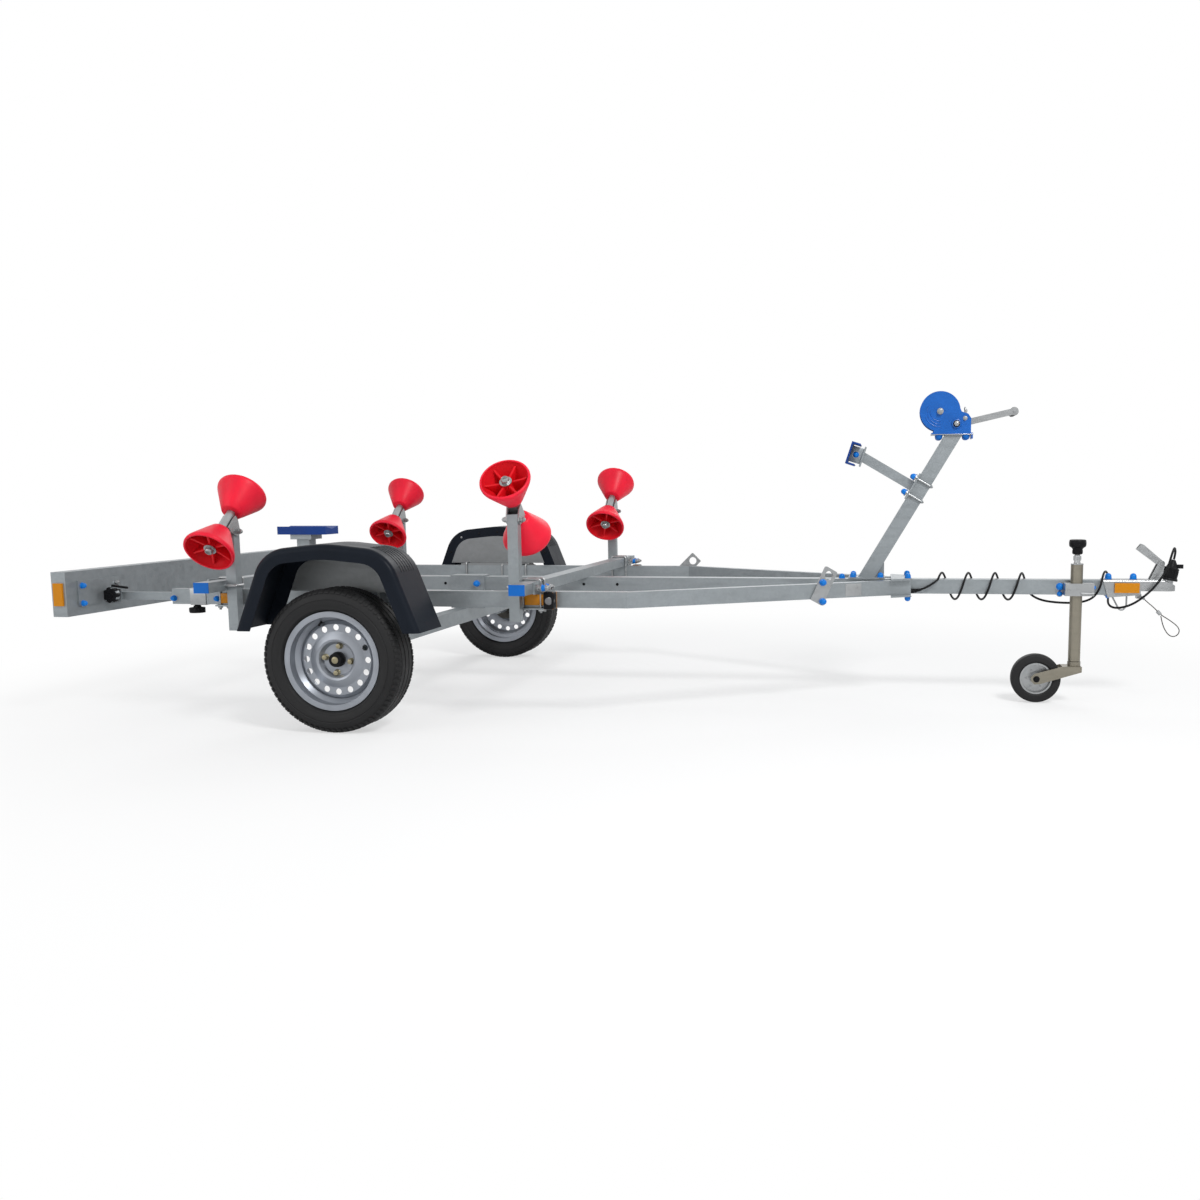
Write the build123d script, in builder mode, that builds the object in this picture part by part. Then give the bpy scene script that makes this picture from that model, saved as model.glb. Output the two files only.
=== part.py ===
from build123d import *
import os
from math import atan2, cos, degrees, hypot, radians, sin, tan

os.makedirs("parts", exist_ok=True)

# A single axle boat trailer, parked on its jockey wheel.
# +X points forward to the coupling, +Y to the left, +Z up; the floor is at Z = 0.
# The origin is under the middle of the overall length. Lengths are millimetres.

# ---------------------------------------------------------------- driving dimensions
front_reach = 3175.0  # axle to the foremost point, the catch of the parked plug
board_reach = 1130.0  # axle to the rear of the light board
axle_x = (board_reach - front_reach) / 2  # the wheels' centre along X
nose_x = axle_x + front_reach
board_rear = axle_x - board_reach
board_depth = 59.0
board_front = board_rear + board_depth

running_gap = 0.05  # radial clearance of a turning fit
skin_gap = 0.5  # clearance between neighbouring plates that move
sides = (("right", -1), ("left", 1))  # name, sign of Y

# frame tubes
frame_z = 470.0  # height of the middle of all frame tubes
rail_height = 60.0
rail_width = 40.0
tube_wall = 3.0
rail_half_span = 740.0  # centre line of the trailer to the outer face of a side rail
rail_rear = board_front + 275.0
rail_bend = axle_x + 1040.0
rail_front = nose_x - 1085.0
drawbar_width = 70.0
drawbar_height = 60.0
drawbar_rear = axle_x - 644.0
drawbar_front = nose_x - 185.0
frame_top = frame_z + rail_height / 2
frame_bottom = frame_z - rail_height / 2

# wheels
axle_half_length = rail_half_span + 50.0
wheel_centre_y = axle_half_length + 160.0
tyre_radius = 265.0
tyre_width = 155.0
rim_radius = 182.0
bead_radius = 165.0
rim_half_width = 62.0
rim_wall = 3.5
vent_count = 16
vent_ring = 119.0
vent_hole = 23.0
hub_radius = 64.0
hub_bore = 15.0
wheel_z = tyre_radius

# axle
axle_tube = 60.0
axle_wall = 5.0
axle_forward = 130.0  # the torsion tube lies this far ahead of the wheels
axle_z = 331.0
arm_width = 40.0
arm_thickness = 22.0

# cross beams, their posts and roller heads
beam_depth = 60.0
beam_height = 40.0
beam_half_length = rail_half_span + 180.0
post_size = 40.0
post_y = rail_half_span + 40.0
pivot_bolt = 12.0
head_tilt = 41.0
post_above_pivot = 19.0
# end, X of the post's middle from the axle, pivot height, post's foot height, side of the beam
post_rows = (
    ("front", 625.0, 770.0, 392.0, 1),
    ("rear", -504.0, 727.0, 345.0, -1),
)
# end, side name, +1 where the outboard roller is up and -1 where it is down
head_rows = (
    ("front", "right", 1),
    ("front", "left", 1),
    ("rear", "right", -1),
    ("rear", "left", 1),
)
shaft_rise = 51.0  # pivot to the rollers' shaft
shaft_diameter = 20.0
sleeve_diameter = 32.0
sleeve_half = 48.0
cheek = 5.0
head_web = 8.0
cone_start = 49.0
cone_length = 120.0
cone_small = 37.0
cone_large = 94.0
cone_rim = 14.0
cone_wall = 8.0
cone_hub = 17.0
cone_floor = 14.0  # from the narrow end to the bottom of the hollow
rib_count = 6
rib_sheet = 6.0
rib_reach = 92.0  # from the narrow end to the open edge of the ribs
nut_seat = 102.0  # from the narrow end to the seat of the end nut

# keel rest
keel_post = 60.0
keel_top = 664.0
keel_pad_length = 232.0
keel_pad_width = 120.0
keel_pad_forward = 10.0
keel_pad_height = 36.0
keel_flange = 22.0

# mudguards
guard_inner_y = axle_half_length + 42.0
guard_outer_y = guard_inner_y + 216.0
guard_wall = 4.0
guard_skirt = 55.0
guard_foot_z = 375.0
guard_half_foot = 352.0
guard_shoulder_x = 238.0
guard_shoulder_z = 668.0
guard_top_z = 694.0
guard_round = 140.0
guard_top_round = 500.0
guard_edge_round = 22.0  # the rounded outer edge

# winch post, winch and bow stop
winch_foot_reach = 1272.0  # from the foremost point back to the post's foot
winch_foot_x = nose_x - winch_foot_reach
winch_post = 60.0
winch_lean = 59.35  # degrees above the floor, leaning forward
winch_post_length = 740.0
stop_along = 427.0  # along the winch post to the bow stop's arm
stop_tube = 40.0
stop_reach = 276.0
pad_height = 95.0
pad_half_width = 75.0
pad_depth = 57.0
pad_wall = 24.0
pad_lean = 72.0  # degrees above the floor
drum_x = nose_x - 977.0
drum_z = 1187.0
pinion_x = drum_x + 66.0
pinion_z = 1136.0
winch_cheek_radius = 81.0
winch_cheek_y = 40.0
winch_cheek = 4.0
winch_base_z = 1094.0
winch_base_rear = drum_x - 34.0
winch_base_front = drum_x + 132.0
winch_base = 6.0
winch_lip = 24.0  # the base plate is turned down this far in front
winch_shaft = 16.0
gear_radius = 66.0
pinion_radius = 15.0
crank_length = 246.0
crank_y = 66.0
grip_length = 110.0

# coupling
ball = 50.0
ball_x = nose_x - 70.0
ball_z = 475.0
cup_radius = 42.0
socket_gap = 0.1  # radial play of the ball in its socket
socket_depth = 18.0  # the socket's straight mouth below the ball's middle
hood_rear = nose_x - 314.0
hood_step_x = nose_x - 168.0
hood_top = frame_top + 3.0
hood_low = 430.0
hood_mid = 441.0
hood_nose = ball_z - socket_depth
hood_sheet = 5.0
hood_round = 9.0
lever_x = nose_x - 87.0
lever_z = 567.0
lever_length = 112.0
lever_turn = radians(142.0)
lever_width = 27.0
lever_sheet = 3.0
lever_boss = 12.0
ear_sheet = 5.0
ear_gap = 1.5
ear_pin = 5.0

# the plug, parked on the coupling
plug_x = nose_x - 54.0
plug_z = 500.0
plug_lean = radians(12.0)
plug_height = 84.0
plug_radius = 33.0
plug_catch = 16.0
plug_stem = 20.0  # radius of the holder that the plug stands on

# cords
cable_diameter = 9.0
wire_diameter = 4.0

# jockey wheel
jockey_reach = 425.0  # from the foremost point back to the jockey wheel's tube
jockey_x = nose_x - jockey_reach
jockey_y = -72.0
jockey_tube = 48.0
jockey_wall = 3.0
jockey_foot = 174.0
jockey_top = 566.0
jockey_radius = 100.0
jockey_wheel_width = 54.0
jockey_trail = 151.0
leg_diameter = 41.0
crown_height = 24.0
fork_plate = 5.0
fork_half = 34.0
jockey_bolt = 14.0

# light board
board_half_width = rail_half_span + 240.0
board_low = 411.0
board_high = 581.0
board_sheet = 3.0
slide_tube = 30.0
slide_inside = 240.0  # length of a slide tube inside its rail


def place(x, y, z, x_dir, z_dir):
    """A plane at a point, from its own X and Z directions."""
    return Plane(origin=(x, y, z), x_dir=x_dir, z_dir=z_dir)


def save(piece, node):
    """Label a finished piece and write it as its own STEP file."""
    piece.label = node
    export_step(piece, f"parts/{node}.step")


# ---------------------------------------------------------------- side rails
bend = atan2(rail_half_span - drawbar_width / 2 - rail_width, rail_front - rail_bend)


def rail_outline(inset, rear):
    """Plan of a rail: straight behind, bent in to the drawbar in front."""
    outer = rail_half_span - inset
    inner = rail_half_span - rail_width + inset
    side = drawbar_width / 2 + inset
    front = rail_front - inset
    shift = inset * tan(bend / 2)
    outer_bend = rail_bend - shift
    inner_bend = rail_bend - (rail_width - inset) * tan(bend / 2)
    outer_front = outer - (front - outer_bend) * tan(bend)
    inner_end = inner_bend + (inner - side) / tan(bend)
    points = [(rear, outer), (outer_bend, outer), (front, outer_front)]
    if inner_end < front:
        points += [(front, side), (inner_end, side)]
    else:
        points += [(front, inner - (front - inner_bend) * tan(bend))]
    points += [(inner_bend, inner), (rear, inner)]
    return points


for side_name, sign in sides:
    with BuildPart() as side_rail:
        with BuildSketch(Plane.XY.offset(frame_bottom)) as rail_plan:
            with BuildLine() as rail_edge:
                Polyline([(x, sign * y) for x, y in rail_outline(0, rail_rear)], close=True)
            make_face()
        extrude(amount=rail_height)
        with BuildSketch(Plane.XY.offset(frame_bottom + tube_wall)) as rail_hollow:
            with BuildLine() as hollow_edge:
                hollow = rail_outline(tube_wall, rail_rear - 1)
                Polyline([(x, sign * y) for x, y in hollow], close=True)
            make_face()
        extrude(amount=rail_height - 2 * tube_wall, mode=Mode.SUBTRACT)
    save(side_rail.part, f"side_rail_{side_name}")

# ---------------------------------------------------------------- drawbar
with BuildPart() as drawbar:
    with BuildSketch(Plane.YZ.offset(drawbar_rear)) as drawbar_section:
        with Locations((0, frame_z)):
            Rectangle(drawbar_width, drawbar_height)
            Rectangle(
                drawbar_width - 2 * tube_wall,
                drawbar_height - 2 * tube_wall,
                mode=Mode.SUBTRACT,
            )
    extrude(amount=drawbar_front - drawbar_rear)
save(drawbar.part, "drawbar")

# ---------------------------------------------------------------- clamp of the rails on the drawbar
clamp_length = 82.0
clamp_plate = 8.0
clamp_margin = 26.0
clamp_rear_half = rail_half_span - (rail_front - clamp_length - rail_bend) * tan(bend)
clamp_front_half = rail_half_span - (rail_front - rail_bend) * tan(bend)
with BuildPart() as drawbar_clamp:
    for base in (frame_top, frame_bottom - clamp_plate):
        with BuildSketch(Plane.XY.offset(base)) as clamp_plan:
            with BuildLine() as clamp_edge:
                Polyline(
                    [
                        (rail_front - clamp_length, -clamp_rear_half - clamp_margin),
                        (rail_front, -clamp_front_half - clamp_margin),
                        (rail_front, clamp_front_half + clamp_margin),
                        (rail_front - clamp_length, clamp_rear_half + clamp_margin),
                    ],
                    close=True,
                )
            make_face()
        extrude(amount=clamp_plate)
save(drawbar_clamp.part, "drawbar_clamp")

# ---------------------------------------------------------------- axle
tube_x = axle_x + axle_forward
axle_top = axle_z + axle_tube / 2
bracket_length = 150.0
bracket_sheet = 6.0
with BuildPart() as axle_beam:
    with BuildSketch(Plane.XZ.offset(-axle_half_length)) as axle_section:
        with Locations((tube_x, axle_z)):
            Rectangle(axle_tube, axle_tube)
    extrude(amount=2 * axle_half_length)
    for _, sign in sides:
        rail_middle = sign * (rail_half_span - rail_width / 2)
        with Locations((tube_x, rail_middle, frame_bottom - bracket_sheet / 2)):
            Box(bracket_length, rail_width + 30, bracket_sheet)
        for edge in (-1, 1):
            cheek_y = rail_middle + edge * (rail_width / 2 - bracket_sheet / 2)
            with BuildSketch(Plane.XZ.offset(-cheek_y - bracket_sheet / 2)) as bracket_cheek:
                with BuildLine() as bracket_edge:
                    Polyline(
                        [
                            (tube_x - bracket_length / 2, frame_bottom - bracket_sheet),
                            (tube_x + bracket_length / 2, frame_bottom - bracket_sheet),
                            (tube_x + axle_tube / 2, axle_z),
                            (tube_x - axle_tube / 2, axle_z),
                        ],
                        close=True,
                    )
                make_face()
            extrude(amount=bracket_sheet)
    with Locations((tube_x, 0, axle_z)):
        Box(
            axle_tube - 2 * axle_wall,
            2 * axle_half_length + 2,
            axle_tube - 2 * axle_wall,
            mode=Mode.SUBTRACT,
        )
save(axle_beam.part, "axle_beam")

saddle_length = 156.0
saddle_sheet = 6.0
with BuildPart() as drawbar_saddle:
    saddle_height = frame_z + drawbar_height / 2 + saddle_sheet - axle_top
    with Locations((tube_x + 30, 0, axle_top + saddle_height / 2)):
        Box(saddle_length, drawbar_width + 2 * saddle_sheet, saddle_height)
    with Locations((tube_x + 30, 0, frame_z)):
        Box(saddle_length, drawbar_width, drawbar_height, mode=Mode.SUBTRACT)
    below = frame_z - drawbar_height / 2 - saddle_sheet
    with Locations((tube_x + 30, 0, (below + axle_top) / 2)):
        Box(saddle_length, drawbar_width, below - axle_top, mode=Mode.SUBTRACT)
save(drawbar_saddle.part, "drawbar_saddle")

# ---------------------------------------------------------------- wheels, hubs and their arms
hub_back = -52.0
hub_face = 5.0
disc_sheet = 4.0
cap_radius = 24.0
cap_out = 34.0
arm_gap = 4.0
for side_name, sign in sides:
    wheel_y = sign * wheel_centre_y
    # local X runs outboard along the axle and local Y is the radius
    wheel_plane = place(axle_x, wheel_y, wheel_z, (0, sign, 0), (sign, 0, 0))
    wheel_axis = Axis((axle_x, wheel_y, wheel_z), (0, 1, 0))

    with BuildPart() as tyre:
        with BuildSketch(wheel_plane) as tyre_section:
            half = tyre_width / 2
            with BuildLine() as tyre_edge:
                side_out = Line((rim_half_width - 6, bead_radius), (rim_half_width - 6, rim_radius))
                bulge_out = ThreePointArc(
                    side_out @ 1, (half, (rim_radius + tyre_radius) / 2 - 4), (half - 12, tyre_radius - 14)
                )
                crown_out = ThreePointArc(
                    bulge_out @ 1, (half - 18, tyre_radius - 6), (half - 28, tyre_radius - 3)
                )
                tread = ThreePointArc(crown_out @ 1, (0, tyre_radius), (28 - half, tyre_radius - 3))
                crown_in = ThreePointArc(tread @ 1, (18 - half, tyre_radius - 6), (12 - half, tyre_radius - 14))
                bulge_in = ThreePointArc(
                    crown_in @ 1, (-half, (rim_radius + tyre_radius) / 2 - 4), (6 - rim_half_width, rim_radius)
                )
                side_in = Line(bulge_in @ 1, (6 - rim_half_width, bead_radius))
                Line(side_in @ 1, side_out @ 0)
            make_face()
        revolve(axis=wheel_axis)
    save(tyre.part, f"tyre_{side_name}")

    with BuildPart() as wheel_rim:
        with BuildSketch(wheel_plane) as rim_section:
            edge = rim_half_width
            seat = bead_radius - rim_wall
            with BuildLine() as rim_edge:
                Polyline(
                    [
                        (-edge, rim_radius),
                        (6 - edge, rim_radius),
                        (6 - edge, bead_radius),
                        (30 - edge, bead_radius),
                        (38 - edge, 150),
                        (edge - 58, 150),
                        (edge - 40, bead_radius),
                        (edge - 6, bead_radius),
                        (edge - 6, rim_radius),
                        (edge, rim_radius),
                        (edge, seat),
                        (edge - 38, seat),
                        (edge - 56, 150 - rim_wall),
                        (36 - edge, 150 - rim_wall),
                        (28 - edge, seat),
                        (-edge, seat),
                    ],
                    close=True,
                )
            make_face()
            with BuildLine() as disc_edge:
                Polyline(
                    [
                        (hub_face, cap_radius + 4),
                        (hub_face, 58),
                        (24, 68),
                        (28, 76),
                        (24, 86),
                        (16, 104),
                        (16, 132),
                        (2, 147),
                        (-8, 147),
                        (-8, 143),
                        (0, 143),
                        (12, 130),
                        (12, 104),
                        (20, 84),
                        (23, 76),
                        (20, 70),
                        (hub_face - disc_sheet, 60),
                        (hub_face - disc_sheet, cap_radius + 4),
                    ],
                    close=True,
                )
            make_face()
        revolve(axis=wheel_axis)
        with BuildSketch(place(axle_x, wheel_y, wheel_z, (1, 0, 0), (0, sign, 0))) as vents:
            with PolarLocations(vent_ring, vent_count):
                Circle(vent_hole / 2)
        extrude(amount=40, mode=Mode.SUBTRACT)
    save(wheel_rim.part, f"wheel_rim_{side_name}")

    with BuildPart() as wheel_hub:
        with BuildSketch(wheel_plane) as hub_section:
            with BuildLine() as hub_edge:
                Polyline(
                    [
                        (hub_back, hub_bore + running_gap),
                        (hub_back, 34),
                        (-14, 34),
                        (-14, hub_radius),
                        (hub_face - disc_sheet, hub_radius - 5),
                        (hub_face - disc_sheet, cap_radius + 3),
                        (hub_face + 4, cap_radius + 3),
                        (hub_face + 4, cap_radius),
                        (cap_out - 6, cap_radius),
                        (cap_out, cap_radius - 6),
                        (cap_out, 0),
                        (cap_out - 4, 0),
                        (cap_out - 4, hub_bore + running_gap),
                    ],
                    close=True,
                )
            make_face()
        revolve(axis=wheel_axis)
    save(wheel_hub.part, f"wheel_hub_{side_name}")

    # the arm trails from the torsion tube's end down to the stub axle
    with BuildPart() as trailing_arm:
        arm_inner = sign * (axle_half_length + arm_gap)
        arm_plane = place(axle_x, arm_inner, wheel_z, (-sign, 0, 0), (0, sign, 0))
        arm_x = -sign * axle_forward
        arm_z = axle_z - wheel_z
        with BuildSketch(arm_plane) as arm_face:
            with Locations((0, 0), (arm_x, arm_z)):
                Circle(arm_width / 2 + 4)
            slope = atan2(arm_z, arm_x)
            with Locations(Location((arm_x / 2, arm_z / 2, 0), (0, 0, degrees(slope)))):
                Rectangle(hypot(arm_x, arm_z), arm_width)
        extrude(amount=arm_thickness)
        stub_start = axle_half_length + arm_gap + arm_thickness
        with BuildSketch(place(axle_x, sign * stub_start, wheel_z, (1, 0, 0), (0, sign, 0))) as stub_face:
            Circle(hub_bore)
        extrude(amount=wheel_centre_y + cap_out - 8 - stub_start)
        with BuildSketch(place(axle_x, sign * stub_start, wheel_z, (1, 0, 0), (0, sign, 0))) as collar_face:
            Circle(hub_bore + 9)
        extrude(amount=wheel_centre_y + hub_back - 2 - stub_start)
        with BuildSketch(
            place(tube_x, sign * (axle_half_length - 30), axle_z, (1, 0, 0), (0, sign, 0))
        ) as torsion_bar:
            Circle(20)
        extrude(amount=30 + arm_gap + 1)
    save(trailing_arm.part, f"trailing_arm_{side_name}")

# ---------------------------------------------------------------- cross beams, posts and end caps
beam_z = frame_top + beam_height / 2
with BuildPart() as cross_beams:
    for _, post_x, _, _, beam_side in post_rows:
        beam_x = axle_x + post_x + beam_side * (post_size + beam_depth) / 2
        with BuildSketch(Plane.XZ.offset(-beam_half_length)) as beam_section:
            with Locations((beam_x, beam_z)):
                Rectangle(beam_depth, beam_height)
                Rectangle(
                    beam_depth - 2 * tube_wall,
                    beam_height - 2 * tube_wall,
                    mode=Mode.SUBTRACT,
                )
        extrude(amount=2 * beam_half_length)
save(cross_beams.part, "cross_beams")

with BuildPart() as end_caps:
    for _, post_x, _, _, beam_side in post_rows:
        beam_x = axle_x + post_x + beam_side * (post_size + beam_depth) / 2
        for _, sign in sides:
            with Locations((beam_x, sign * (beam_half_length + 2), beam_z)):
                Box(beam_depth, 4, beam_height)
            with Locations((beam_x, sign * (beam_half_length - 10), beam_z)):
                Box(beam_depth - 2 * tube_wall, 20, beam_height - 2 * tube_wall)
save(end_caps.part, "beam_end_caps")

for end_name, post_x, pivot_z, foot_z, _ in post_rows:
    with BuildPart() as roller_posts:
        for _, sign in sides:
            with BuildSketch(Plane.XY.offset(foot_z)) as post_section:
                with Locations((axle_x + post_x, sign * post_y)):
                    Rectangle(post_size, post_size)
                    Rectangle(
                        post_size - 2 * tube_wall,
                        post_size - 2 * tube_wall,
                        mode=Mode.SUBTRACT,
                    )
            extrude(amount=pivot_z + post_above_pivot - foot_z)
            with Locations((axle_x + post_x, sign * post_y, pivot_z)):
                Cylinder(
                    pivot_bolt / 2 + running_gap,
                    post_size + 2,
                    rotation=(0, 90, 0),
                    mode=Mode.SUBTRACT,
                )
    save(roller_posts.part, f"{end_name}_roller_posts")

# ---------------------------------------------------------------- rocking heads and their rollers
post_data = {row[0]: row for row in post_rows}
side_data = dict(sides)
cheek_inner = post_size / 2 + skin_gap
for end_name, side_name, up in head_rows:
    _, post_x, pivot_z, _, _ = post_data[end_name]
    sign = side_data[side_name]
    tilt = radians(up * head_tilt)
    # local X runs outboard along the rollers' shaft, local Y away from the pivot bolt
    head_plane = place(
        axle_x + post_x,
        sign * post_y,
        pivot_z,
        (0, sign * cos(tilt), sin(tilt)),
        (sign, 0, 0),
    )
    shaft_plane = Plane(
        origin=head_plane.from_local_coords((0, shaft_rise, 0)),
        x_dir=head_plane.x_dir,
        z_dir=head_plane.z_dir,
    )
    shaft_axis = Axis(shaft_plane.origin, shaft_plane.x_dir)
    across_shaft = Plane(
        origin=shaft_plane.origin, x_dir=shaft_plane.z_dir, z_dir=shaft_plane.x_dir
    )
    # the web stops against the post's top corner
    corner = post_above_pivot * cos(radians(head_tilt)) + post_size / 2 * sin(radians(head_tilt))
    web_low = corner + skin_gap
    end_at = cone_start + nut_seat + 14
    with BuildPart() as head:
        for face in (-cheek_inner - cheek, cheek_inner):
            with BuildSketch(head_plane.offset(face)) as cheek_face:
                with BuildLine() as cheek_edge:
                    Polyline(
                        [
                            (-18, -6),
                            (-10, -16),
                            (10, -16),
                            (18, -6),
                            (34, web_low),
                            (34, shaft_rise),
                            (-34, shaft_rise),
                            (-34, web_low),
                        ],
                        close=True,
                    )
                make_face()
            extrude(amount=cheek)
        with BuildSketch(head_plane.offset(-cheek_inner - cheek)) as web_face:
            with Locations((0, web_low + head_web / 2)):
                Rectangle(68, head_web)
        extrude(amount=2 * (cheek_inner + cheek))
        with BuildSketch(across_shaft.offset(-sleeve_half)) as sleeve_face:
            Circle(sleeve_diameter / 2)
        extrude(amount=2 * sleeve_half)
        with BuildSketch(across_shaft.offset(-end_at)) as shaft_face:
            Circle(shaft_diameter / 2)
        extrude(amount=2 * end_at)
        for end in (-1, 1):
            nut_at = cone_start + nut_seat + skin_gap
            start = nut_at if end > 0 else -nut_at - 12
            with BuildSketch(across_shaft.offset(start)) as nut_face:
                RegularPolygon(17, 6)
            extrude(amount=12)
        with BuildSketch(head_plane.offset(-cheek_inner - cheek - 8)) as bolt_face:
            Circle(pivot_bolt / 2)
        extrude(amount=2 * (cheek_inner + cheek + 8))
        for start in (-cheek_inner - cheek - 8, cheek_inner + cheek):
            with BuildSketch(head_plane.offset(start)) as bolt_head:
                RegularPolygon(11, 6)
            extrude(amount=8)
    save(head.part, f"roller_head_{end_name}_{side_name}")

    for roller_name, way in (("outer", 1), ("inner", -1)):
        with BuildPart() as cone:
            with BuildSketch(shaft_plane) as cone_section:
                far = cone_start + cone_length
                bore = shaft_diameter / 2 + running_gap
                outline = [
                    (cone_start, bore),
                    (cone_start, cone_small),
                    (far - cone_rim, cone_large),
                    (far, cone_large),
                    (far, cone_large - cone_wall),
                    (far - cone_rim, cone_large - cone_wall),
                    (cone_start + cone_floor, cone_hub + 6),
                    (cone_start + nut_seat, cone_hub),
                    (cone_start + nut_seat, bore),
                ]
                with BuildLine() as cone_edge:
                    Polyline([(way * x, y) for x, y in outline], close=True)
                make_face()
            revolve(axis=shaft_axis)
            hollow_slope = (cone_large - cone_wall - cone_hub - 6) / (
                cone_length - cone_rim - cone_floor
            )
            rib_low = cone_floor + 12
            for rib in range(rib_count):
                turn = radians(rib * 360 / rib_count)
                across = shaft_plane.z_dir * cos(turn) + shaft_plane.y_dir * sin(turn)
                rib_plane = Plane(shaft_plane.origin, shaft_plane.x_dir, across)
                with BuildSketch(rib_plane.offset(-rib_sheet / 2)) as rib_face:
                    outline = [
                        (rib_low, cone_hub - 2),
                        (rib_low, cone_hub + 8 + hollow_slope * (rib_low - cone_floor)),
                        (rib_reach, cone_hub + 8 + hollow_slope * (rib_reach - cone_floor)),
                        (rib_reach, cone_hub - 2),
                    ]
                    with BuildLine() as rib_edge:
                        Polyline([(way * (cone_start + x), y) for x, y in outline], close=True)
                    make_face()
                extrude(amount=rib_sheet)
        save(cone.part, f"cone_{end_name}_{side_name}_{roller_name}")

# ---------------------------------------------------------------- keel rest
keel_x = axle_x - 584.0 - keel_post / 2
with BuildPart() as keel_stand:
    with BuildSketch(Plane.XY.offset(frame_top)) as keel_section:
        with Locations((keel_x, 0)):
            Rectangle(keel_post, keel_post)
            Rectangle(keel_post - 2 * tube_wall, keel_post - 2 * tube_wall, mode=Mode.SUBTRACT)
    extrude(amount=keel_top - frame_top)
    with Locations((keel_x, 0, keel_top + keel_flange / 2)):
        Box(100, 100, keel_flange)
save(keel_stand.part, "keel_stand")

keel_pad_low = keel_top + keel_flange
with BuildPart() as keel_pad:
    with BuildSketch(Plane.YZ.offset(keel_x + keel_pad_forward - keel_pad_length / 2)) as pad_section:
        half = keel_pad_width / 2
        with BuildLine() as pad_edge:
            Polyline(
                [
                    (-half, keel_pad_low),
                    (-half, keel_pad_low + keel_pad_height),
                    (0, keel_pad_low + keel_pad_height - 12),
                    (half, keel_pad_low + keel_pad_height),
                    (half, keel_pad_low),
                ],
                close=True,
            )
        make_face()
    extrude(amount=keel_pad_length)
save(keel_pad.part, "keel_pad")

# ---------------------------------------------------------------- mudguards and their stays
guard_run_out = 100.0  # the outline is drawn this far below the foot, then cut off
guard_lean = atan2(guard_half_foot - guard_shoulder_x, guard_shoulder_z - guard_foot_z)
guard_crown = atan2(guard_top_z - guard_shoulder_z, guard_shoulder_x)


def guard_outline(inset):
    """Side outline of a mudguard, two splayed legs under a low crowned top."""
    apex = guard_top_z - inset / cos(guard_crown)
    foot = guard_half_foot - inset / cos(guard_lean)
    shoulder_x = (foot - (apex - guard_foot_z) * tan(guard_lean)) / (
        1 - tan(guard_lean) * tan(guard_crown)
    )
    shoulder_z = apex - shoulder_x * tan(guard_crown)
    low_x = foot + guard_run_out * tan(guard_lean)
    low_z = guard_foot_z - guard_run_out
    return [
        (-low_x, low_z),
        (-shoulder_x, shoulder_z),
        (0, apex),
        (shoulder_x, shoulder_z),
        (low_x, low_z),
    ]


for side_name, sign in sides:
    guard_width = guard_outer_y - guard_inner_y
    # local X runs along the trailer and local Y up
    guard_plane = place(axle_x, sign * guard_inner_y, 0, (-sign, 0, 0), (0, sign, 0))
    guard_bevel = guard_edge_round - guard_wall
    # inset of the outline, start and length along the width, taper, cut or added
    guard_steps = (
        (0.0, 0.0, guard_width, 0.0, Mode.ADD),
        (guard_wall, guard_wall, guard_width - guard_wall - guard_edge_round, 0.0, Mode.SUBTRACT),
        (guard_wall, guard_width - guard_edge_round, guard_bevel, 45.0, Mode.SUBTRACT),
        (guard_skirt, 0.0, guard_width, 0.0, Mode.SUBTRACT),
    )
    with BuildPart() as mudguard:
        for inset, start, length, taper, mode in guard_steps:
            outline = guard_outline(inset)
            with BuildSketch(guard_plane.offset(start)) as guard_side:
                with BuildLine() as guard_edge:
                    FilletPolyline(
                        *outline,
                        radius=(guard_round - inset, guard_top_round - inset, guard_round - inset),
                    )
                    Line(outline[-1], outline[0])
                make_face()
            extrude(amount=length, taper=taper, mode=mode)
            if mode == Mode.ADD:
                far_y = sign * guard_outer_y
                far_edges = mudguard.edges().filter_by_position(Axis.Y, far_y - 0.1, far_y + 0.1)
                fillet(
                    far_edges.filter_by_position(Axis.Z, guard_foot_z, guard_top_z + 1),
                    radius=guard_edge_round,
                )
        with Locations((axle_x, sign * (guard_inner_y + guard_outer_y) / 2, guard_foot_z - 100)):
            Box(2 * guard_half_foot + 200, guard_width + 2, 200, mode=Mode.SUBTRACT)
    save(mudguard.part, f"mudguard_{side_name}")

plate_sheet = 3.0
plate_low = 505.0
plate_margin = guard_skirt - 7.0
with BuildPart() as guard_plates:
    for _, sign in sides:
        plate_plane = place(axle_x, sign * (guard_inner_y - plate_sheet), 0, (-sign, 0, 0), (0, sign, 0))
        outline = guard_outline(plate_margin)
        with BuildSketch(plate_plane) as plate_side:
            with BuildLine() as plate_edge:
                FilletPolyline(
                    *outline,
                    radius=(
                        guard_round - plate_margin,
                        guard_top_round - plate_margin,
                        guard_round - plate_margin,
                    ),
                )
                Line(outline[-1], outline[0])
            make_face()
        extrude(amount=plate_sheet)
        with Locations((axle_x, sign * (guard_inner_y - plate_sheet / 2), plate_low - 200)):
            Box(2 * guard_half_foot + 200, plate_sheet + 2, 400, mode=Mode.SUBTRACT)
        shelf = guard_inner_y - (rail_half_span - rail_width)
        with Locations((axle_x, sign * (guard_inner_y - shelf / 2), frame_top + 5)):
            Box(300, shelf, 10)
save(guard_plates.part, "guard_stays")

# ---------------------------------------------------------------- winch post
lean = radians(winch_lean)
foot_plate = 8.0
foot_plate_length = 150.0
foot_plate_width = 120.0
foot_trim = winch_post * 5  # blocks that cut the post level at its foot and head
head_trim = winch_post * 25
along_post = (cos(lean), 0, sin(lean))
behind_post = (-sin(lean), 0, cos(lean))
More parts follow.
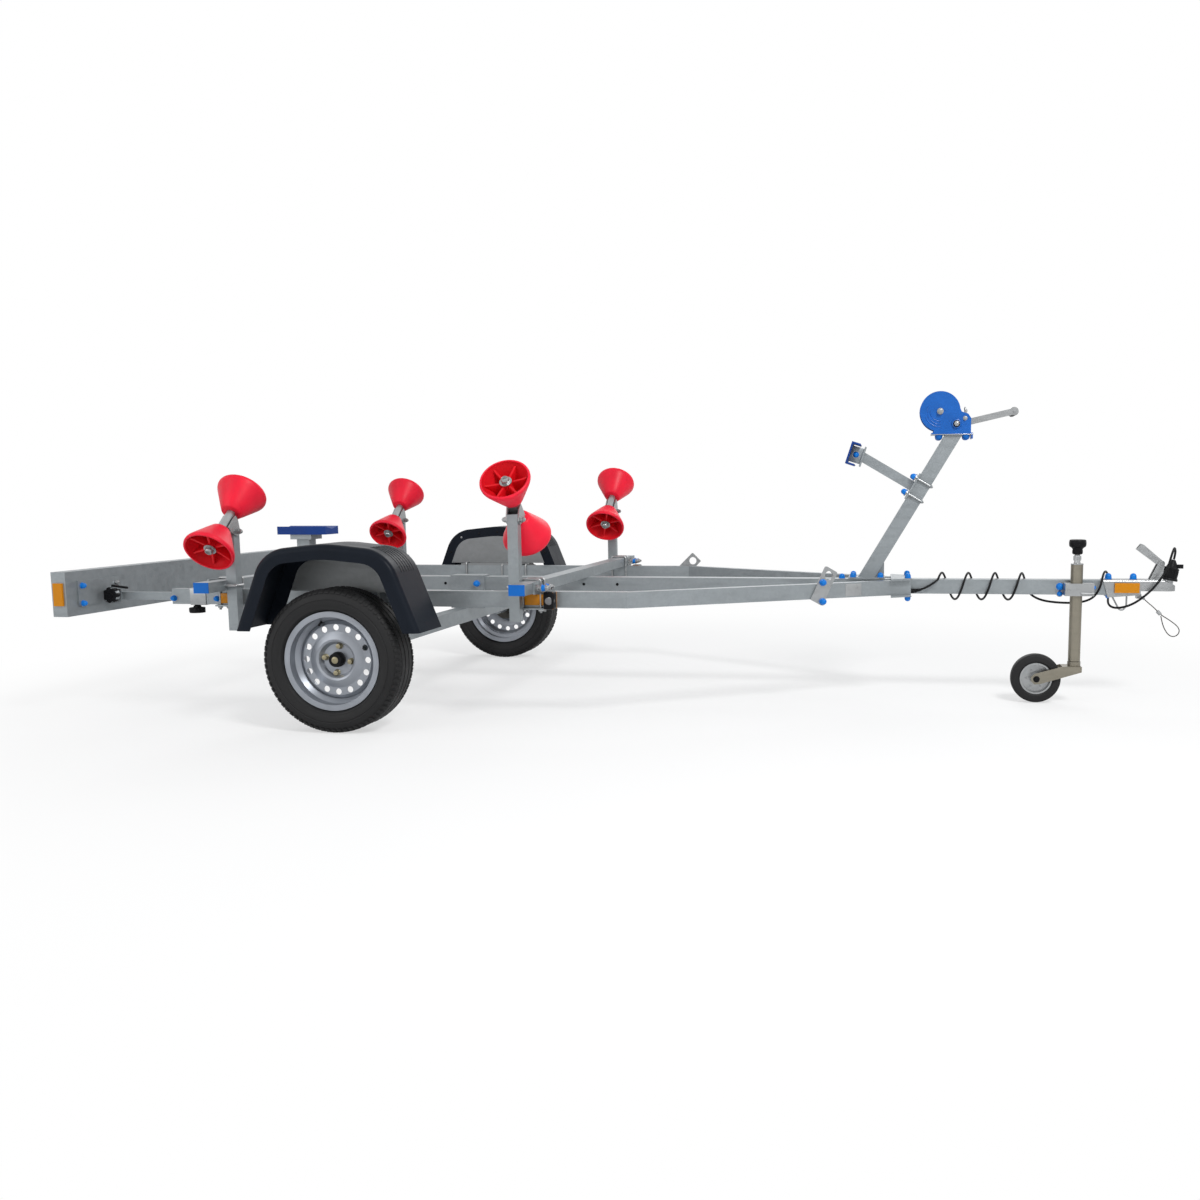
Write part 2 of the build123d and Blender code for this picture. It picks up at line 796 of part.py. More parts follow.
# local X runs up the post, local Y forward and down out of its front face
post_plane = place(winch_foot_x, 0, frame_top, along_post, (0, 1, 0))
with BuildPart() as winch_stand:
    with BuildSketch(
        place(winch_foot_x, 0, frame_top, (0, 1, 0), along_post)
    ) as stand_section:
        Rectangle(winch_post, winch_post)
        Rectangle(winch_post - 2 * tube_wall, winch_post - 2 * tube_wall, mode=Mode.SUBTRACT)
    extrude(amount=winch_post_length)
    extrude(stand_section.sketch, amount=-60)
    with Locations((winch_foot_x, 0, frame_top - 100)):
        Box(foot_trim, 200, 200, mode=Mode.SUBTRACT)
    with Locations((winch_foot_x, 0, winch_base_z + 100)):
        Box(head_trim, 200, 200, mode=Mode.SUBTRACT)
    with Locations((winch_foot_x + 5, 0, frame_top + foot_plate / 2)):
        Box(foot_plate_length, foot_plate_width, foot_plate)
    with BuildSketch(Plane.XZ.offset(-4)) as gusset_face:
        with BuildLine() as gusset_edge:
            gusset_foot = winch_foot_x + winch_post / 2 / sin(lean)
            Polyline(
                [
                    (gusset_foot - 10, frame_top + 6),
                    (gusset_foot + 42, frame_top + 6),
                    (gusset_foot + 42, frame_top + 76),
                ],
                close=True,
            )
        make_face()
    extrude(amount=8)
save(winch_stand.part, "winch_post")

# ---------------------------------------------------------------- bow stop
stop_x = winch_foot_x + stop_along * cos(lean)
stop_z = frame_top + stop_along * sin(lean)
pad_turn = radians(pad_lean)
pad_up = (cos(pad_turn), 0, sin(pad_turn))
pad_back = (-sin(pad_turn), 0, cos(pad_turn))
pad_x = stop_x + stop_reach * behind_post[0]
pad_z = stop_z + stop_reach * behind_post[2]
foot_x = stop_x + winch_post / 2 * behind_post[0]
foot_z = stop_z + winch_post / 2 * behind_post[2]
foot_sheet = 6.0
with BuildPart() as bow_arm:
    with BuildSketch(place(foot_x, 0, foot_z, (0, 1, 0), behind_post)) as arm_section:
        Rectangle(stop_tube, stop_tube)
    extrude(amount=stop_reach - winch_post / 2 + 10)
    with BuildSketch(place(pad_x, 0, pad_z, (0, 1, 0), pad_back)) as arm_end:
        Rectangle(200, 200)
    extrude(amount=60, mode=Mode.SUBTRACT)
    with BuildSketch(place(pad_x, 0, pad_z, (0, 1, 0), pad_back)) as carrier_face:
        Rectangle(70, 84)
    extrude(amount=-foot_sheet)
    with BuildSketch(place(foot_x, 0, foot_z, (0, 1, 0), behind_post)) as foot_face:
        Rectangle(96, 120)
    extrude(amount=foot_sheet)
save(bow_arm.part, "bow_stop_arm")

with BuildPart() as bow_pad:
    with BuildSketch(
        place(
            pad_x - pad_height / 2 * pad_up[0],
            0,
            pad_z - pad_height / 2 * pad_up[2],
            pad_back,
            pad_up,
        )
    ) as pad_face:
        with BuildLine() as pad_outline:
            Polyline(
                [
                    (0, -34),
                    (0, 34),
                    (pad_depth - 20, pad_half_width),
                    (pad_depth, pad_half_width),
                    (pad_depth, pad_half_width - 10),
                    (pad_wall, 0),
                    (pad_depth, 10 - pad_half_width),
                    (pad_depth, -pad_half_width),
                    (pad_depth - 20, -pad_half_width),
                ],
                close=True,
            )
        make_face()
    extrude(amount=pad_height)
save(bow_pad.part, "bow_pad")

# ---------------------------------------------------------------- winch
cheek_in = winch_cheek_y - winch_cheek
base_top = winch_base_z + winch_base
base_middle = (winch_base_rear + winch_base_front) / 2
with BuildPart() as winch_frame:
    with Locations((base_middle, 0, winch_base_z + winch_base / 2)):
        Box(winch_base_front - winch_base_rear, 2 * winch_cheek_y, winch_base)
    with Locations((winch_base_front - winch_base / 2, 0, base_top - winch_lip / 2)):
        Box(winch_base, 2 * winch_cheek_y, winch_lip)
    for start in (-winch_cheek_y, cheek_in):
        with BuildSketch(Plane.XZ.offset(-start - winch_cheek)) as winch_side:
            with Locations((drum_x, drum_z)):
                Circle(winch_cheek_radius)
            with BuildLine() as winch_side_edge:
                Polyline(
                    [
                        (drum_x - 28, base_top),
                        (winch_base_front - 8, base_top),
                        (winch_base_front - 8, pinion_z + 22),
                        (winch_base_front - 20, pinion_z + 40),
                        (drum_x + 86, drum_z - 2),
                        (drum_x + 76, drum_z + 18),
                        (drum_x, drum_z),
                    ],
                    close=True,
                )
            make_face()
            with Locations((pinion_x, pinion_z)):
                Circle(winch_shaft / 2 + running_gap, mode=Mode.SUBTRACT)
        extrude(amount=winch_cheek)
    with BuildSketch(Plane.XZ.offset(-winch_cheek_y - 6)) as drum_pin:
        with Locations((drum_x, drum_z)):
            Circle(winch_shaft / 2)
    extrude(amount=2 * (winch_cheek_y + 6))
save(winch_frame.part, "winch_frame")

drum_half = cheek_in - 3
gear_width = 8.0
drum_plane = place(drum_x, 0, drum_z, (0, 1, 0), (-1, 0, 0))
with BuildPart() as winch_drum:
    with BuildSketch(drum_plane) as drum_section:
        with BuildLine() as drum_edge:
            Polyline(
                [
                    (-drum_half, winch_shaft / 2 + running_gap),
                    (-drum_half, gear_radius - 4),
                    (-drum_half + 3, gear_radius - 4),
                    (-drum_half + 3, 46),
                    (drum_half - gear_width, 46),
                    (drum_half - gear_width, gear_radius),
                    (drum_half, gear_radius),
                    (drum_half, winch_shaft / 2 + running_gap),
                ],
                close=True,
            )
        make_face()
    revolve(axis=Axis((drum_x, 0, drum_z), (0, 1, 0)))
save(winch_drum.part, "winch_drum")

crank_turn = atan2(54.0, 241.0)
grip_x = pinion_x + crank_length * cos(crank_turn)
grip_z = pinion_z + crank_length * sin(crank_turn)
with BuildPart() as winch_handle:
    with BuildSketch(Plane.XZ.offset(winch_cheek_y + 4)) as crank_shaft:
        with Locations((pinion_x, pinion_z)):
            Circle(winch_shaft / 2)
    extrude(amount=-(winch_cheek_y + 4 + crank_y + 8))
    with BuildSketch(Plane.XZ.offset(-drum_half + gear_width)) as pinion_face:
        with Locations((pinion_x, pinion_z)):
            Circle(pinion_radius)
    extrude(amount=-gear_width)
    with BuildSketch(Plane.XZ.offset(-crank_y)) as crank_face:
        with Locations((pinion_x, pinion_z), (grip_x, grip_z)):
            Circle(16)
        with Locations(
            Location(
                ((pinion_x + grip_x) / 2, (pinion_z + grip_z) / 2, 0),
                (0, 0, degrees(crank_turn)),
            )
        ):
            Rectangle(crank_length, 26)
    extrude(amount=-6)
    with BuildSketch(Plane.XZ.offset(-crank_y - 5)) as grip_face:
        with Locations((grip_x, grip_z)):
            Circle(14)
    extrude(amount=-grip_length)
save(winch_handle.part, "winch_handle")

# ---------------------------------------------------------------- coupling and its lever
slope_x = ball_x - 22  # where the hood's top starts to fall to the nose
lug_length = 18.0
lug_x = drawbar_front + 2 + lug_length / 2
lug_y = -20.0
lug_z = hood_mid - 5
keeper_rod = 7.0
keeper_y = 15.0
keeper_sheet = 6.0
with BuildPart() as coupling:
    with BuildSketch(Plane.XY.offset(hood_low)) as hood_plan:
        with BuildLine() as hood_edge:
            Polyline(
                [
                    (hood_rear, drawbar_width / 2 + hood_sheet),
                    (hood_rear, -drawbar_width / 2 - hood_sheet),
                    (ball_x, -cup_radius),
                    (ball_x, cup_radius),
                ],
                close=True,
            )
        make_face()
        with Locations((ball_x, 0)):
            Circle(cup_radius)
    extrude(amount=hood_top - hood_low)
    fillet(
        coupling.faces().sort_by(Axis.Z)[-1].edges().filter_by(Axis.Y, reverse=True),
        radius=hood_round,
    )
    with BuildSketch(Plane.XZ.offset(-cup_radius - 1)) as hood_side:
        with BuildLine() as hood_side_edge:
            Polyline(
                [
                    (hood_rear, hood_top + 1),
                    (hood_rear, hood_top - 8),
                    (hood_rear + 18, hood_low),
                    (hood_step_x, hood_mid),
                    (hood_step_x, hood_nose),
                    (ball_x + cup_radius + 1, hood_nose),
                    (ball_x + cup_radius + 1, ball_z),
                    (ball_x + cup_radius - 10, hood_top - 20),
                    (slope_x, hood_top + 1),
                ],
                close=True,
            )
        make_face()
    extrude(amount=2 * (cup_radius + 1), mode=Mode.INTERSECT)
    # the drawbar's seat, and the hollow between it and the socket
    with Locations(((hood_rear + drawbar_front) / 2 - 1, 0, frame_top - 50)):
        Box(drawbar_front - hood_rear + 2, drawbar_width, 100, mode=Mode.SUBTRACT)
    with Locations(((drawbar_front + hood_step_x) / 2, 0, frame_top - 50 - hood_sheet)):
        Box(
            hood_step_x - drawbar_front + 50,
            drawbar_width - 2 * hood_sheet,
            100,
            mode=Mode.SUBTRACT,
        )
    with Locations((ball_x, 0, ball_z)):
        Sphere(ball / 2 + socket_gap, mode=Mode.SUBTRACT)
    with Locations((ball_x, 0, ball_z - ball / 2)):
        Cylinder(ball / 2 + socket_gap, ball, mode=Mode.SUBTRACT)
    # the plug's holder stands on the nose and leans with the plug
    holder_plane = place(
        plug_x, 0, plug_z, (0, 1, 0), (sin(plug_lean), 0, cos(plug_lean))
    )
    with BuildSketch(holder_plane) as holder_face:
        Circle(plug_stem)
    extrude(amount=-14)
    for side in (-1, 1):
        ear_y = side * (lever_width / 2 + ear_gap + ear_sheet / 2)
        with BuildSketch(Plane.XZ.offset(-ear_y - ear_sheet / 2)) as ear_face:
            with BuildLine() as ear_edge:
                Polyline(
                    [
                        (lever_x - 43, hood_top - 1),
                        (lever_x + 3, hood_top - 1),
                        (lever_x + 13, lever_z),
                        (lever_x - 13, lever_z),
                    ],
                    close=True,
                )
            make_face()
            with Locations((lever_x, lever_z)):
                Circle(13)
                Circle(ear_pin + running_gap, mode=Mode.SUBTRACT)
        extrude(amount=ear_sheet)
    # a lug for the breakaway wire and a bent rod that holds it up
    hood_half = drawbar_width / 2 + hood_sheet
    with Locations((lug_x, (lug_y + 8 - hood_half) / 2, lug_z)):
        Box(lug_length, hood_half + lug_y + 8, 18)
    with BuildLine() as keeper_path:
        FilletPolyline(
            (hood_rear + 42, keeper_y, frame_bottom - 3),
            (hood_rear + 82, keeper_y, hood_low - 67),
            (hood_rear + 103, keeper_y, hood_low - 40),
            (hood_rear + 103, keeper_y, frame_bottom - 3),
            radius=14,
        )
    with BuildSketch(Plane(origin=keeper_path.line @ 0, z_dir=keeper_path.line % 0)) as keeper_face:
        Circle(keeper_rod / 2)
    sweep(path=keeper_path.line)
    with Locations((hood_rear + 72, (keeper_y - 8 + hood_half) / 2, frame_bottom - keeper_sheet / 2)):
        Box(86, hood_half - keeper_y + 8, keeper_sheet)
save(coupling.part, "coupling")

with BuildPart() as coupling_lever:
    # local X runs along the lever, local Y to its closed back
    lever_plane = place(
        lever_x, lever_width / 2, lever_z, (cos(lever_turn), 0, sin(lever_turn)), (0, -1, 0)
    )
    with BuildSketch(lever_plane) as lever_face:
        with BuildLine() as lever_edge:
            Polyline(
                [
                    (0, -lever_boss),
                    (lever_length - 10, -17),
                    (lever_length, -14),
                    (lever_length, 14),
                    (0, lever_boss),
                ],
                close=True,
            )
        make_face()
        Circle(lever_boss)
    extrude(amount=lever_width)
    with BuildSketch(lever_plane.offset(lever_sheet)) as lever_hollow:
        with BuildLine() as hollow_side:
            Polyline(
                [
                    (2 * lever_boss, -30),
                    (lever_length + 10, -30),
                    (lever_length + 10, 14 - lever_sheet),
                    (2 * lever_boss, lever_boss - lever_sheet),
                ],
                close=True,
            )
        make_face()
    extrude(amount=lever_width - 2 * lever_sheet, mode=Mode.SUBTRACT)
    pin_half = lever_width / 2 + ear_gap + ear_sheet + 4
    with BuildSketch(Plane.XZ.offset(-pin_half)) as lever_pin:
        with Locations((lever_x, lever_z)):
            Circle(ear_pin)
    extrude(amount=2 * pin_half)
save(coupling_lever.part, "coupling_lever")

# ---------------------------------------------------------------- plug
with BuildPart() as cable_plug:
    # local X runs up the plug, local Y is its radius
    plug_plane = place(plug_x, 0, plug_z, (sin(plug_lean), 0, cos(plug_lean)), (0, 1, 0))
    with BuildSketch(plug_plane) as plug_section:
        with BuildLine() as plug_edge:
            Polyline(
                [
                    (0, 0),
                    (0, plug_radius),
                    (10, plug_radius),
                    (12, plug_radius - 3),
                    (46, plug_radius - 4),
                    (58, plug_radius - 13),
                    (70, plug_radius - 17),
                    (plug_height, cable_diameter / 2 + 3),
                    (plug_height, 0),
                ],
                close=True,
            )
        make_face()
    revolve(axis=Axis(plug_plane.origin, plug_plane.x_dir))
    catch_z = plug_z + 55
    catch_start = plug_x + 22
    with Locations(((catch_start + nose_x) / 2, 0, catch_z)):
        Box(nose_x - catch_start, plug_catch, plug_catch)
save(cable_plug.part, "cable_plug")

# ---------------------------------------------------------------- cable and breakaway wire


def bend_radii(points):
    """Radius of the arc at each inner point of a cord's route."""
    radii = []
    for before, here, after in zip(points, points[1:], points[2:]):
        run_in = Vector(*here) - Vector(*before)
        run_out = Vector(*after) - Vector(*here)
        half_turn = radians(run_in.get_angle(run_out)) / 2
        radii.append(0.45 * min(run_in.length, run_out.length) / tan(half_turn))
    return tuple(radii)


gland_x = rail_front
gland_y = -56.0
gland_z = 453.0
gland_length = 14.0
wind_start = nose_x - 975.0  # where the cable's turns round the drawbar begin
wind_pitch = 108.0
wind_radius = 57.0
wind_steps = 12  # points in a turn
wind_points = 43
cable_route = [
    (gland_x + gland_length + 1, gland_y, gland_z),
    (wind_start - 60, -57, 460),
    (wind_start - 26, -54, 480),
]
for step in range(wind_points):
    turn = radians(30 + step * 360 / wind_steps)
    cable_route.append(
        (
            wind_start + step * wind_pitch / wind_steps,
            -wind_radius * cos(turn),
            frame_z + wind_radius * sin(turn),
        )
    )
# under the drawbar behind the jockey tube, once more round it, and up to the plug
# X from the foremost point, Y, Z
cable_rest = (
    (-575, 33, 422),
    (-538, 15, 409),
    (-485, 0, 404),
    (-433, -13, 404),
    (-387, -31, 411),
    (-355, -52, 429),
    (-337, -63, 458),
    (-326, -60, 489),
    (-318, -41, 517),
    (-307, -12, 533),
    (-294, 20, 533),
    (-282, 47, 517),
    (-274, 62, 490),
    (-272, 63, 459),
    (-276, 52, 428),
    (-282, 28, 407),
    (-282, 0, 395),
    (-270, -28, 387),
    (-242, -50, 390),
    (-205, -60, 404),
    (-167, -62, 430),
    (-127, -63, 468),
    (-95, -63, 513),
    (-72, -63, 556),
    (-61, -64, 604),
    (-52, -52, 624),
    (-44, -33, 632),
    (-36, -13, 627),
    (-31, 0, 608),
)
cable_route += [(nose_x + x, y, z) for x, y, z in cable_rest]
cable_route.append(tuple(plug_plane.from_local_coords((plug_height + 1, 0, 0))))

# X from the foremost point, Y, Z: from the lug down, round the eye and back to its ferrule
wire_rest = (
    (-135, -24, 409),
    (-111, -30, 389),
    (-86, -32, 361),
    (-47, -30, 338),
    (-11.5, -29, 309),
    (-10.4, -29, 285),
    (-29.5, -30, 270.4),
    (-52.4, -31, 277.6),
    (-71, -33, 306),
    (-82, -36, 337),
    (-86, -38, 357),
)
wire_route = [(lug_x + lug_length / 2 + 1.5, lug_y, lug_z)]
wire_route += [(nose_x + x, y, z) for x, y, z in wire_rest]

cord_rows = (
    ("cable", cable_route, cable_diameter),
    ("breakaway_wire", wire_route, wire_diameter),
)
for cord_name, route, diameter in cord_rows:
    with BuildPart() as cord:
        with BuildLine() as cord_path:
            FilletPolyline(*route, radius=bend_radii(route))
        with BuildSketch(Plane(origin=cord_path.line @ 0, z_dir=cord_path.line % 0)) as cord_section:
            Circle(diameter / 2)
        sweep(path=cord_path.line)
    save(cord.part, cord_name)

# the ferrules that are pressed on the wire
wire_start, wire_down, wire_eye_in, wire_eye_out = (Vector(*point) for point in wire_route[:4])
# start and end of the run that the ferrule is on, share of that run, radius, bore, length
ferrule_rows = (
    (wire_start, wire_down, 0.30, 5.0, 2.3, 16.0),
    (wire_eye_in, wire_eye_out, 0.72, 7.5, 6.0, 18.0),
)
with BuildPart() as wire_ferrules:
    for run_start, run_end, share, radius, bore, length in ferrule_rows:
        run = run_end - run_start
        middle = run_start + run * share
        ferrule_plane = Plane(origin=middle, z_dir=run)
        with BuildSketch(ferrule_plane.offset(-length / 2)) as ferrule_face:
            Circle(radius)
            Circle(bore, mode=Mode.SUBTRACT)
        extrude(amount=length)
save(wire_ferrules.part, "wire_ferrules")

# ---------------------------------------------------------------- jockey wheel
clamp_back = -drawbar_width / 2
clamp_out = jockey_y - jockey_tube / 2 - 12
with BuildPart() as jockey_clamp:
    with Locations((jockey_x + 8, (clamp_back + clamp_out) / 2, frame_z - 4)):
        Box(112, clamp_back - clamp_out, 50)
    with Locations((jockey_x, jockey_y, frame_z)):
        Cylinder(jockey_tube / 2, 100, mode=Mode.SUBTRACT)
save(jockey_clamp.part, "jockey_clamp")

with BuildPart() as jockey_outer:
    with BuildSketch(Plane.XY.offset(jockey_foot)) as outer_section:
        with Locations((jockey_x, jockey_y)):
            Circle(jockey_tube / 2)
            Circle(jockey_tube / 2 - jockey_wall, mode=Mode.SUBTRACT)
    extrude(amount=jockey_top - jockey_foot)
    with Locations((jockey_x, jockey_y, jockey_top - jockey_wall / 2)):
        Cylinder(jockey_tube / 2, jockey_wall)
    with Locations((jockey_x, jockey_y, jockey_top + 22)):
        Cylinder(11, 44)
    with Locations((jockey_x, jockey_y, jockey_top + 58)):
        Cylinder(16, 30)
    with Locations((jockey_x + 2, jockey_y, jockey_top + 86)):
        Cylinder(30, 26)
save(jockey_outer.part, "jockey_tube")

crown_top = jockey_foot - 3
crown_low = crown_top - crown_height
with BuildPart() as jockey_leg:
    leg_low = crown_top + 1
    leg_high = jockey_top - jockey_wall - skin_gap
    with Locations((jockey_x, jockey_y, (leg_low + leg_high) / 2)):
        Cylinder(leg_diameter / 2, leg_high - leg_low)
    with Locations((jockey_x, jockey_y, (crown_low - 4 + leg_low) / 2)):
        Cylinder(10, leg_low - crown_low + 4)
    with Locations((jockey_x, jockey_y, crown_low - 4)):
        Cylinder(15, 4)
save(jockey_leg.part, "jockey_leg")

wheel_hub_x = jockey_x - jockey_trail
with BuildPart() as jockey_fork:
    with Locations((jockey_x, jockey_y, (crown_top + crown_low) / 2)):
        Cylinder(26, crown_height)
    with Locations((jockey_x - 12, jockey_y, crown_low + 3)):
        Box(76, 2 * (fork_half + fork_plate), 6)
    for start in (-fork_half - fork_plate, fork_half):
        with BuildSketch(Plane.XZ.offset(-(jockey_y + start) - fork_plate)) as fork_face:
            with BuildLine() as fork_edge:
                Polyline(
                    [
                        (jockey_x + 26, crown_low + 6),
                        (jockey_x - 50, crown_low + 6),
                        (wheel_hub_x - 8, jockey_radius + 22),
                        (wheel_hub_x - 22, jockey_radius + 8),
                        (wheel_hub_x - 22, jockey_radius - 8),
                        (wheel_hub_x - 8, jockey_radius - 22),
                        (wheel_hub_x + 14, jockey_radius - 20),
                        (jockey_x + 26, crown_low - 16),
                    ],
                    close=True,
                )
            make_face()
        extrude(amount=fork_plate)
    with Locations((wheel_hub_x, jockey_y, jockey_radius)):
        Cylinder(jockey_bolt / 2, 2 * (fork_half + fork_plate + 6), rotation=(90, 0, 0))
    with Locations((jockey_x, jockey_y, (crown_top + crown_low) / 2)):
        Cylinder(10 + running_gap, crown_height + 2, mode=Mode.SUBTRACT)
save(jockey_fork.part, "jockey_fork")

caster_plane = place(wheel_hub_x, jockey_y, jockey_radius, (0, 1, 0), (-1, 0, 0))
caster_axis = Axis((wheel_hub_x, jockey_y, jockey_radius), (0, 1, 0))
caster_half = jockey_wheel_width / 2
caster_seat = 64.0
with BuildPart() as jockey_rim:
    with BuildSketch(caster_plane) as caster_section:
        with BuildLine() as caster_edge:
            Polyline(
                [
                    (-caster_half - 4, jockey_bolt / 2 + running_gap),
                    (-caster_half - 4, 17),
                    (-4, 20),
                    (-4, caster_seat - 8),
                    (4 - caster_half, caster_seat - 6),
                    (4 - caster_half, caster_seat),
                    (caster_half - 4, caster_seat),
                    (caster_half - 4, caster_seat - 6),
                    (4, caster_seat - 8),
                    (4, 20),
                    (caster_half + 4, 17),
                    (caster_half + 4, jockey_bolt / 2 + running_gap),
                ],
                close=True,
            )
        make_face()
    revolve(axis=caster_axis)
save(jockey_rim.part, "jockey_rim")

with BuildPart() as jockey_tyre:
    with BuildSketch(caster_plane) as caster_tyre_section:
        with BuildLine() as caster_tyre_edge:
            Polyline(
                [
                    (4 - caster_half, caster_seat),
                    (-caster_half, caster_seat + 6),
                    (-caster_half, jockey_radius - 8),
                    (8 - caster_half, jockey_radius),
                    (caster_half - 8, jockey_radius),
                    (caster_half, jockey_radius - 8),
                    (caster_half, caster_seat + 6),
                    (caster_half - 4, caster_seat),
                ],
                close=True,
            )
        make_face()
    revolve(axis=caster_axis)
save(jockey_tyre.part, "jockey_tyre")

# ---------------------------------------------------------------- light board, its slides and lamps
board_middle = (board_front + board_rear) / 2
board_tall = board_high - board_low
board_z = (board_high + board_low) / 2
with BuildPart() as light_board:
    with Locations((board_middle, 0, board_z)):
        Box(board_depth, 2 * board_half_width, board_tall)
    with Locations((board_middle - board_sheet, 0, board_z)):
        Box(
            board_depth,
            2 * (board_half_width - board_sheet),
            board_tall - 2 * board_sheet,
            mode=Mode.SUBTRACT,
        )
save(light_board.part, "light_board")

slide_y = rail_half_span - rail_width / 2
bracket_sheet = 6.0
bracket_length = 240.0
bracket_tall = 96.0
clamp_plate = 8.0
clamp_plate_length = 54.0
clamp_plate_tall = 56.0
knob_forward = 32.0
knob_lift = 6.0
knob_stem_radius = 10.0
knob_radius = 29.0
knob_thick = 20.0
with BuildPart() as board_slides:
    slide_front = rail_rear + slide_inside
    knob_x = board_front + knob_forward
    knob_z = frame_z + knob_lift
    for _, sign in sides:
        with Locations(((board_front + slide_front) / 2, sign * slide_y, frame_z)):
            Box(slide_front - board_front, slide_tube, slide_tube)
        with Locations((board_front + bracket_sheet / 2, sign * (slide_y + 80), frame_z + 26)):
            Box(bracket_sheet, bracket_length, bracket_tall)
        clamp_y = slide_y + (slide_tube + clamp_plate) / 2
        with Locations((board_front + clamp_plate_length / 2, sign * clamp_y, frame_z)):
            Box(clamp_plate_length, clamp_plate, clamp_plate_tall)
        stem_y = clamp_y + clamp_plate / 2
        with BuildSketch(place(knob_x, sign * stem_y, knob_z, (1, 0, 0), (0, sign, 0))) as knob_stem:
            Circle(knob_stem_radius)
        extrude(amount=16)
        knob_y = stem_y + 14
        with BuildSketch(place(knob_x, sign * knob_y, knob_z, (1, 0, 0), (0, sign, 0))) as knob:
            Circle(knob_radius)
        extrude(amount=knob_thick)
save(board_slides.part, "board_slides")

lamp_length = 220.0
lamp_tall = board_tall - 50.0
lamp_y = board_half_width - lamp_length / 2 - 30.0
number_plate = 8.0
number_plate_length = 520.0
with BuildPart() as board_lamps:
    for _, sign in sides:
        with Locations((board_middle - 2, sign * lamp_y, board_z)):
            Box(board_depth - 2 * board_sheet, lamp_length, lamp_tall)
    with Locations((board_front - number_plate, 0, board_z)):
        Box(number_plate, number_plate_length, lamp_tall)
save(board_lamps.part, "board_lamps")

with BuildPart() as board_reflectors:
    for _, sign in sides:
        with Locations((board_middle, sign * (board_half_width + 4), board_z)):
            Box(38, 8, 86)
save(board_reflectors.part, "board_reflectors")

# ---------------------------------------------------------------- knobs and the cable's gland
rail_knob_forward = 92.0  # from the rails' rear ends
with BuildPart() as rail_fittings:
    for _, sign in sides:
        with Locations((rail_rear + rail_knob_forward, sign * slide_y, frame_bottom - 8)):
            Cylinder(9, 16)
        with Locations((rail_rear + rail_knob_forward, sign * slide_y, frame_bottom - 25)):
            Cylinder(knob_radius, knob_thick)
    with BuildSketch(place(gland_x, gland_y, gland_z, (0, 1, 0), (1, 0, 0))) as gland_face:
        Circle(cable_diameter / 2 + 5)
    extrude(amount=gland_length)
save(rail_fittings.part, "rail_fittings")

# ---------------------------------------------------------------- tie-down plates
tie_sheet = 8.0
tie_width = 60.0
tie_length = 148.0
tie_hole = 18.0
tie_hole_up = 46.0
tie_rise = 22.0
tie_clearance = 350.0  # from the rails' front ends back to the right plate
# side of the trailer, the plate's middle along X from the rail's bend, lean forward in degrees
tie_rows = (
    (-1, rail_front - rail_bend - tie_clearance, 28.0),
    (1, -31.0, 45.0),
)
with BuildPart() as tie_downs:
    for sign, tie_reach, tie_lean in tie_rows:
        tie_x = rail_bend + tie_reach
        past_bend = max(tie_reach, 0)
        rail_turn = bend if past_bend else 0
        tie_y = sign * (rail_half_span - past_bend * tan(bend))
        # local X runs across the plate and local Y up its length
        lean_turn = radians(tie_lean)
        tie_plane = place(
            tie_x,
            tie_y,
            frame_z + tie_rise,
            (
                -sign * cos(rail_turn) * cos(lean_turn),
                sin(rail_turn) * cos(lean_turn),
                sign * sin(lean_turn),
            ),
            (sin(rail_turn), sign * cos(rail_turn), 0),
        )
        with BuildSketch(tie_plane) as tie_face:
            RectangleRounded(tie_width, tie_length, 6)
            with Locations((0, tie_hole_up)):
                Circle(tie_hole, mode=Mode.SUBTRACT)
        extrude(amount=tie_sheet)
save(tie_downs.part, "tie_downs")

# ---------------------------------------------------------------- side reflectors and marker lamps
with BuildPart() as side_reflectors:
    for _, sign in sides:
        with Locations((axle_x + 690, sign * (rail_half_span + 4), frame_z)):
            Box(84, 8, 40)
        with Locations((axle_x + 752, sign * (rail_half_span + 24), frame_z)):
            Box(36, 48, 62)
        with Locations((hood_rear + 91, sign * (cup_radius + 4), frame_z)):
            Box(96, 8, 40)
save(side_reflectors.part, "side_reflectors")
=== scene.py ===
"""A boat trailer on its jockey wheel: finishes, fittings, cords, studio and camera.

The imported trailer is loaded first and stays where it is. Sizes below are millimetres,
with X forward to the coupling, Y to the left and Z up from the floor; Bench.put turns
every finished mesh into metres.
"""

import logging
import math
from collections.abc import Iterable, Sequence
from dataclasses import dataclass, field
from enum import Enum
from typing import Protocol

import bmesh
import bpy
from mathutils import Matrix, Vector


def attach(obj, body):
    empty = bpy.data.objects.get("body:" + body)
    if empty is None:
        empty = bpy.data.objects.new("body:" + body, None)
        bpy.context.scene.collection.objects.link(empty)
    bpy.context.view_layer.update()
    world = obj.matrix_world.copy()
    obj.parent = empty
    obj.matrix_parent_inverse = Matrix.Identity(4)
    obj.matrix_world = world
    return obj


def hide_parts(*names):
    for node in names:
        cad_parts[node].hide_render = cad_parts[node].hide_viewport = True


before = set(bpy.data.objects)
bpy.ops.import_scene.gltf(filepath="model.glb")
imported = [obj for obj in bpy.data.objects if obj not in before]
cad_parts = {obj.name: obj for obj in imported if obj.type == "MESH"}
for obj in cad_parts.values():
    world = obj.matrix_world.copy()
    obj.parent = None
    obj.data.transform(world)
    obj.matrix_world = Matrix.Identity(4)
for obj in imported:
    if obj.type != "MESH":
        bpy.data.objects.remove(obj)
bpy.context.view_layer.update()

LOG = logging.getLogger("boat_trailer")

Point = tuple[float, float, float]
Colour = tuple[float, float, float]
Outline = Sequence[tuple[float, float]]

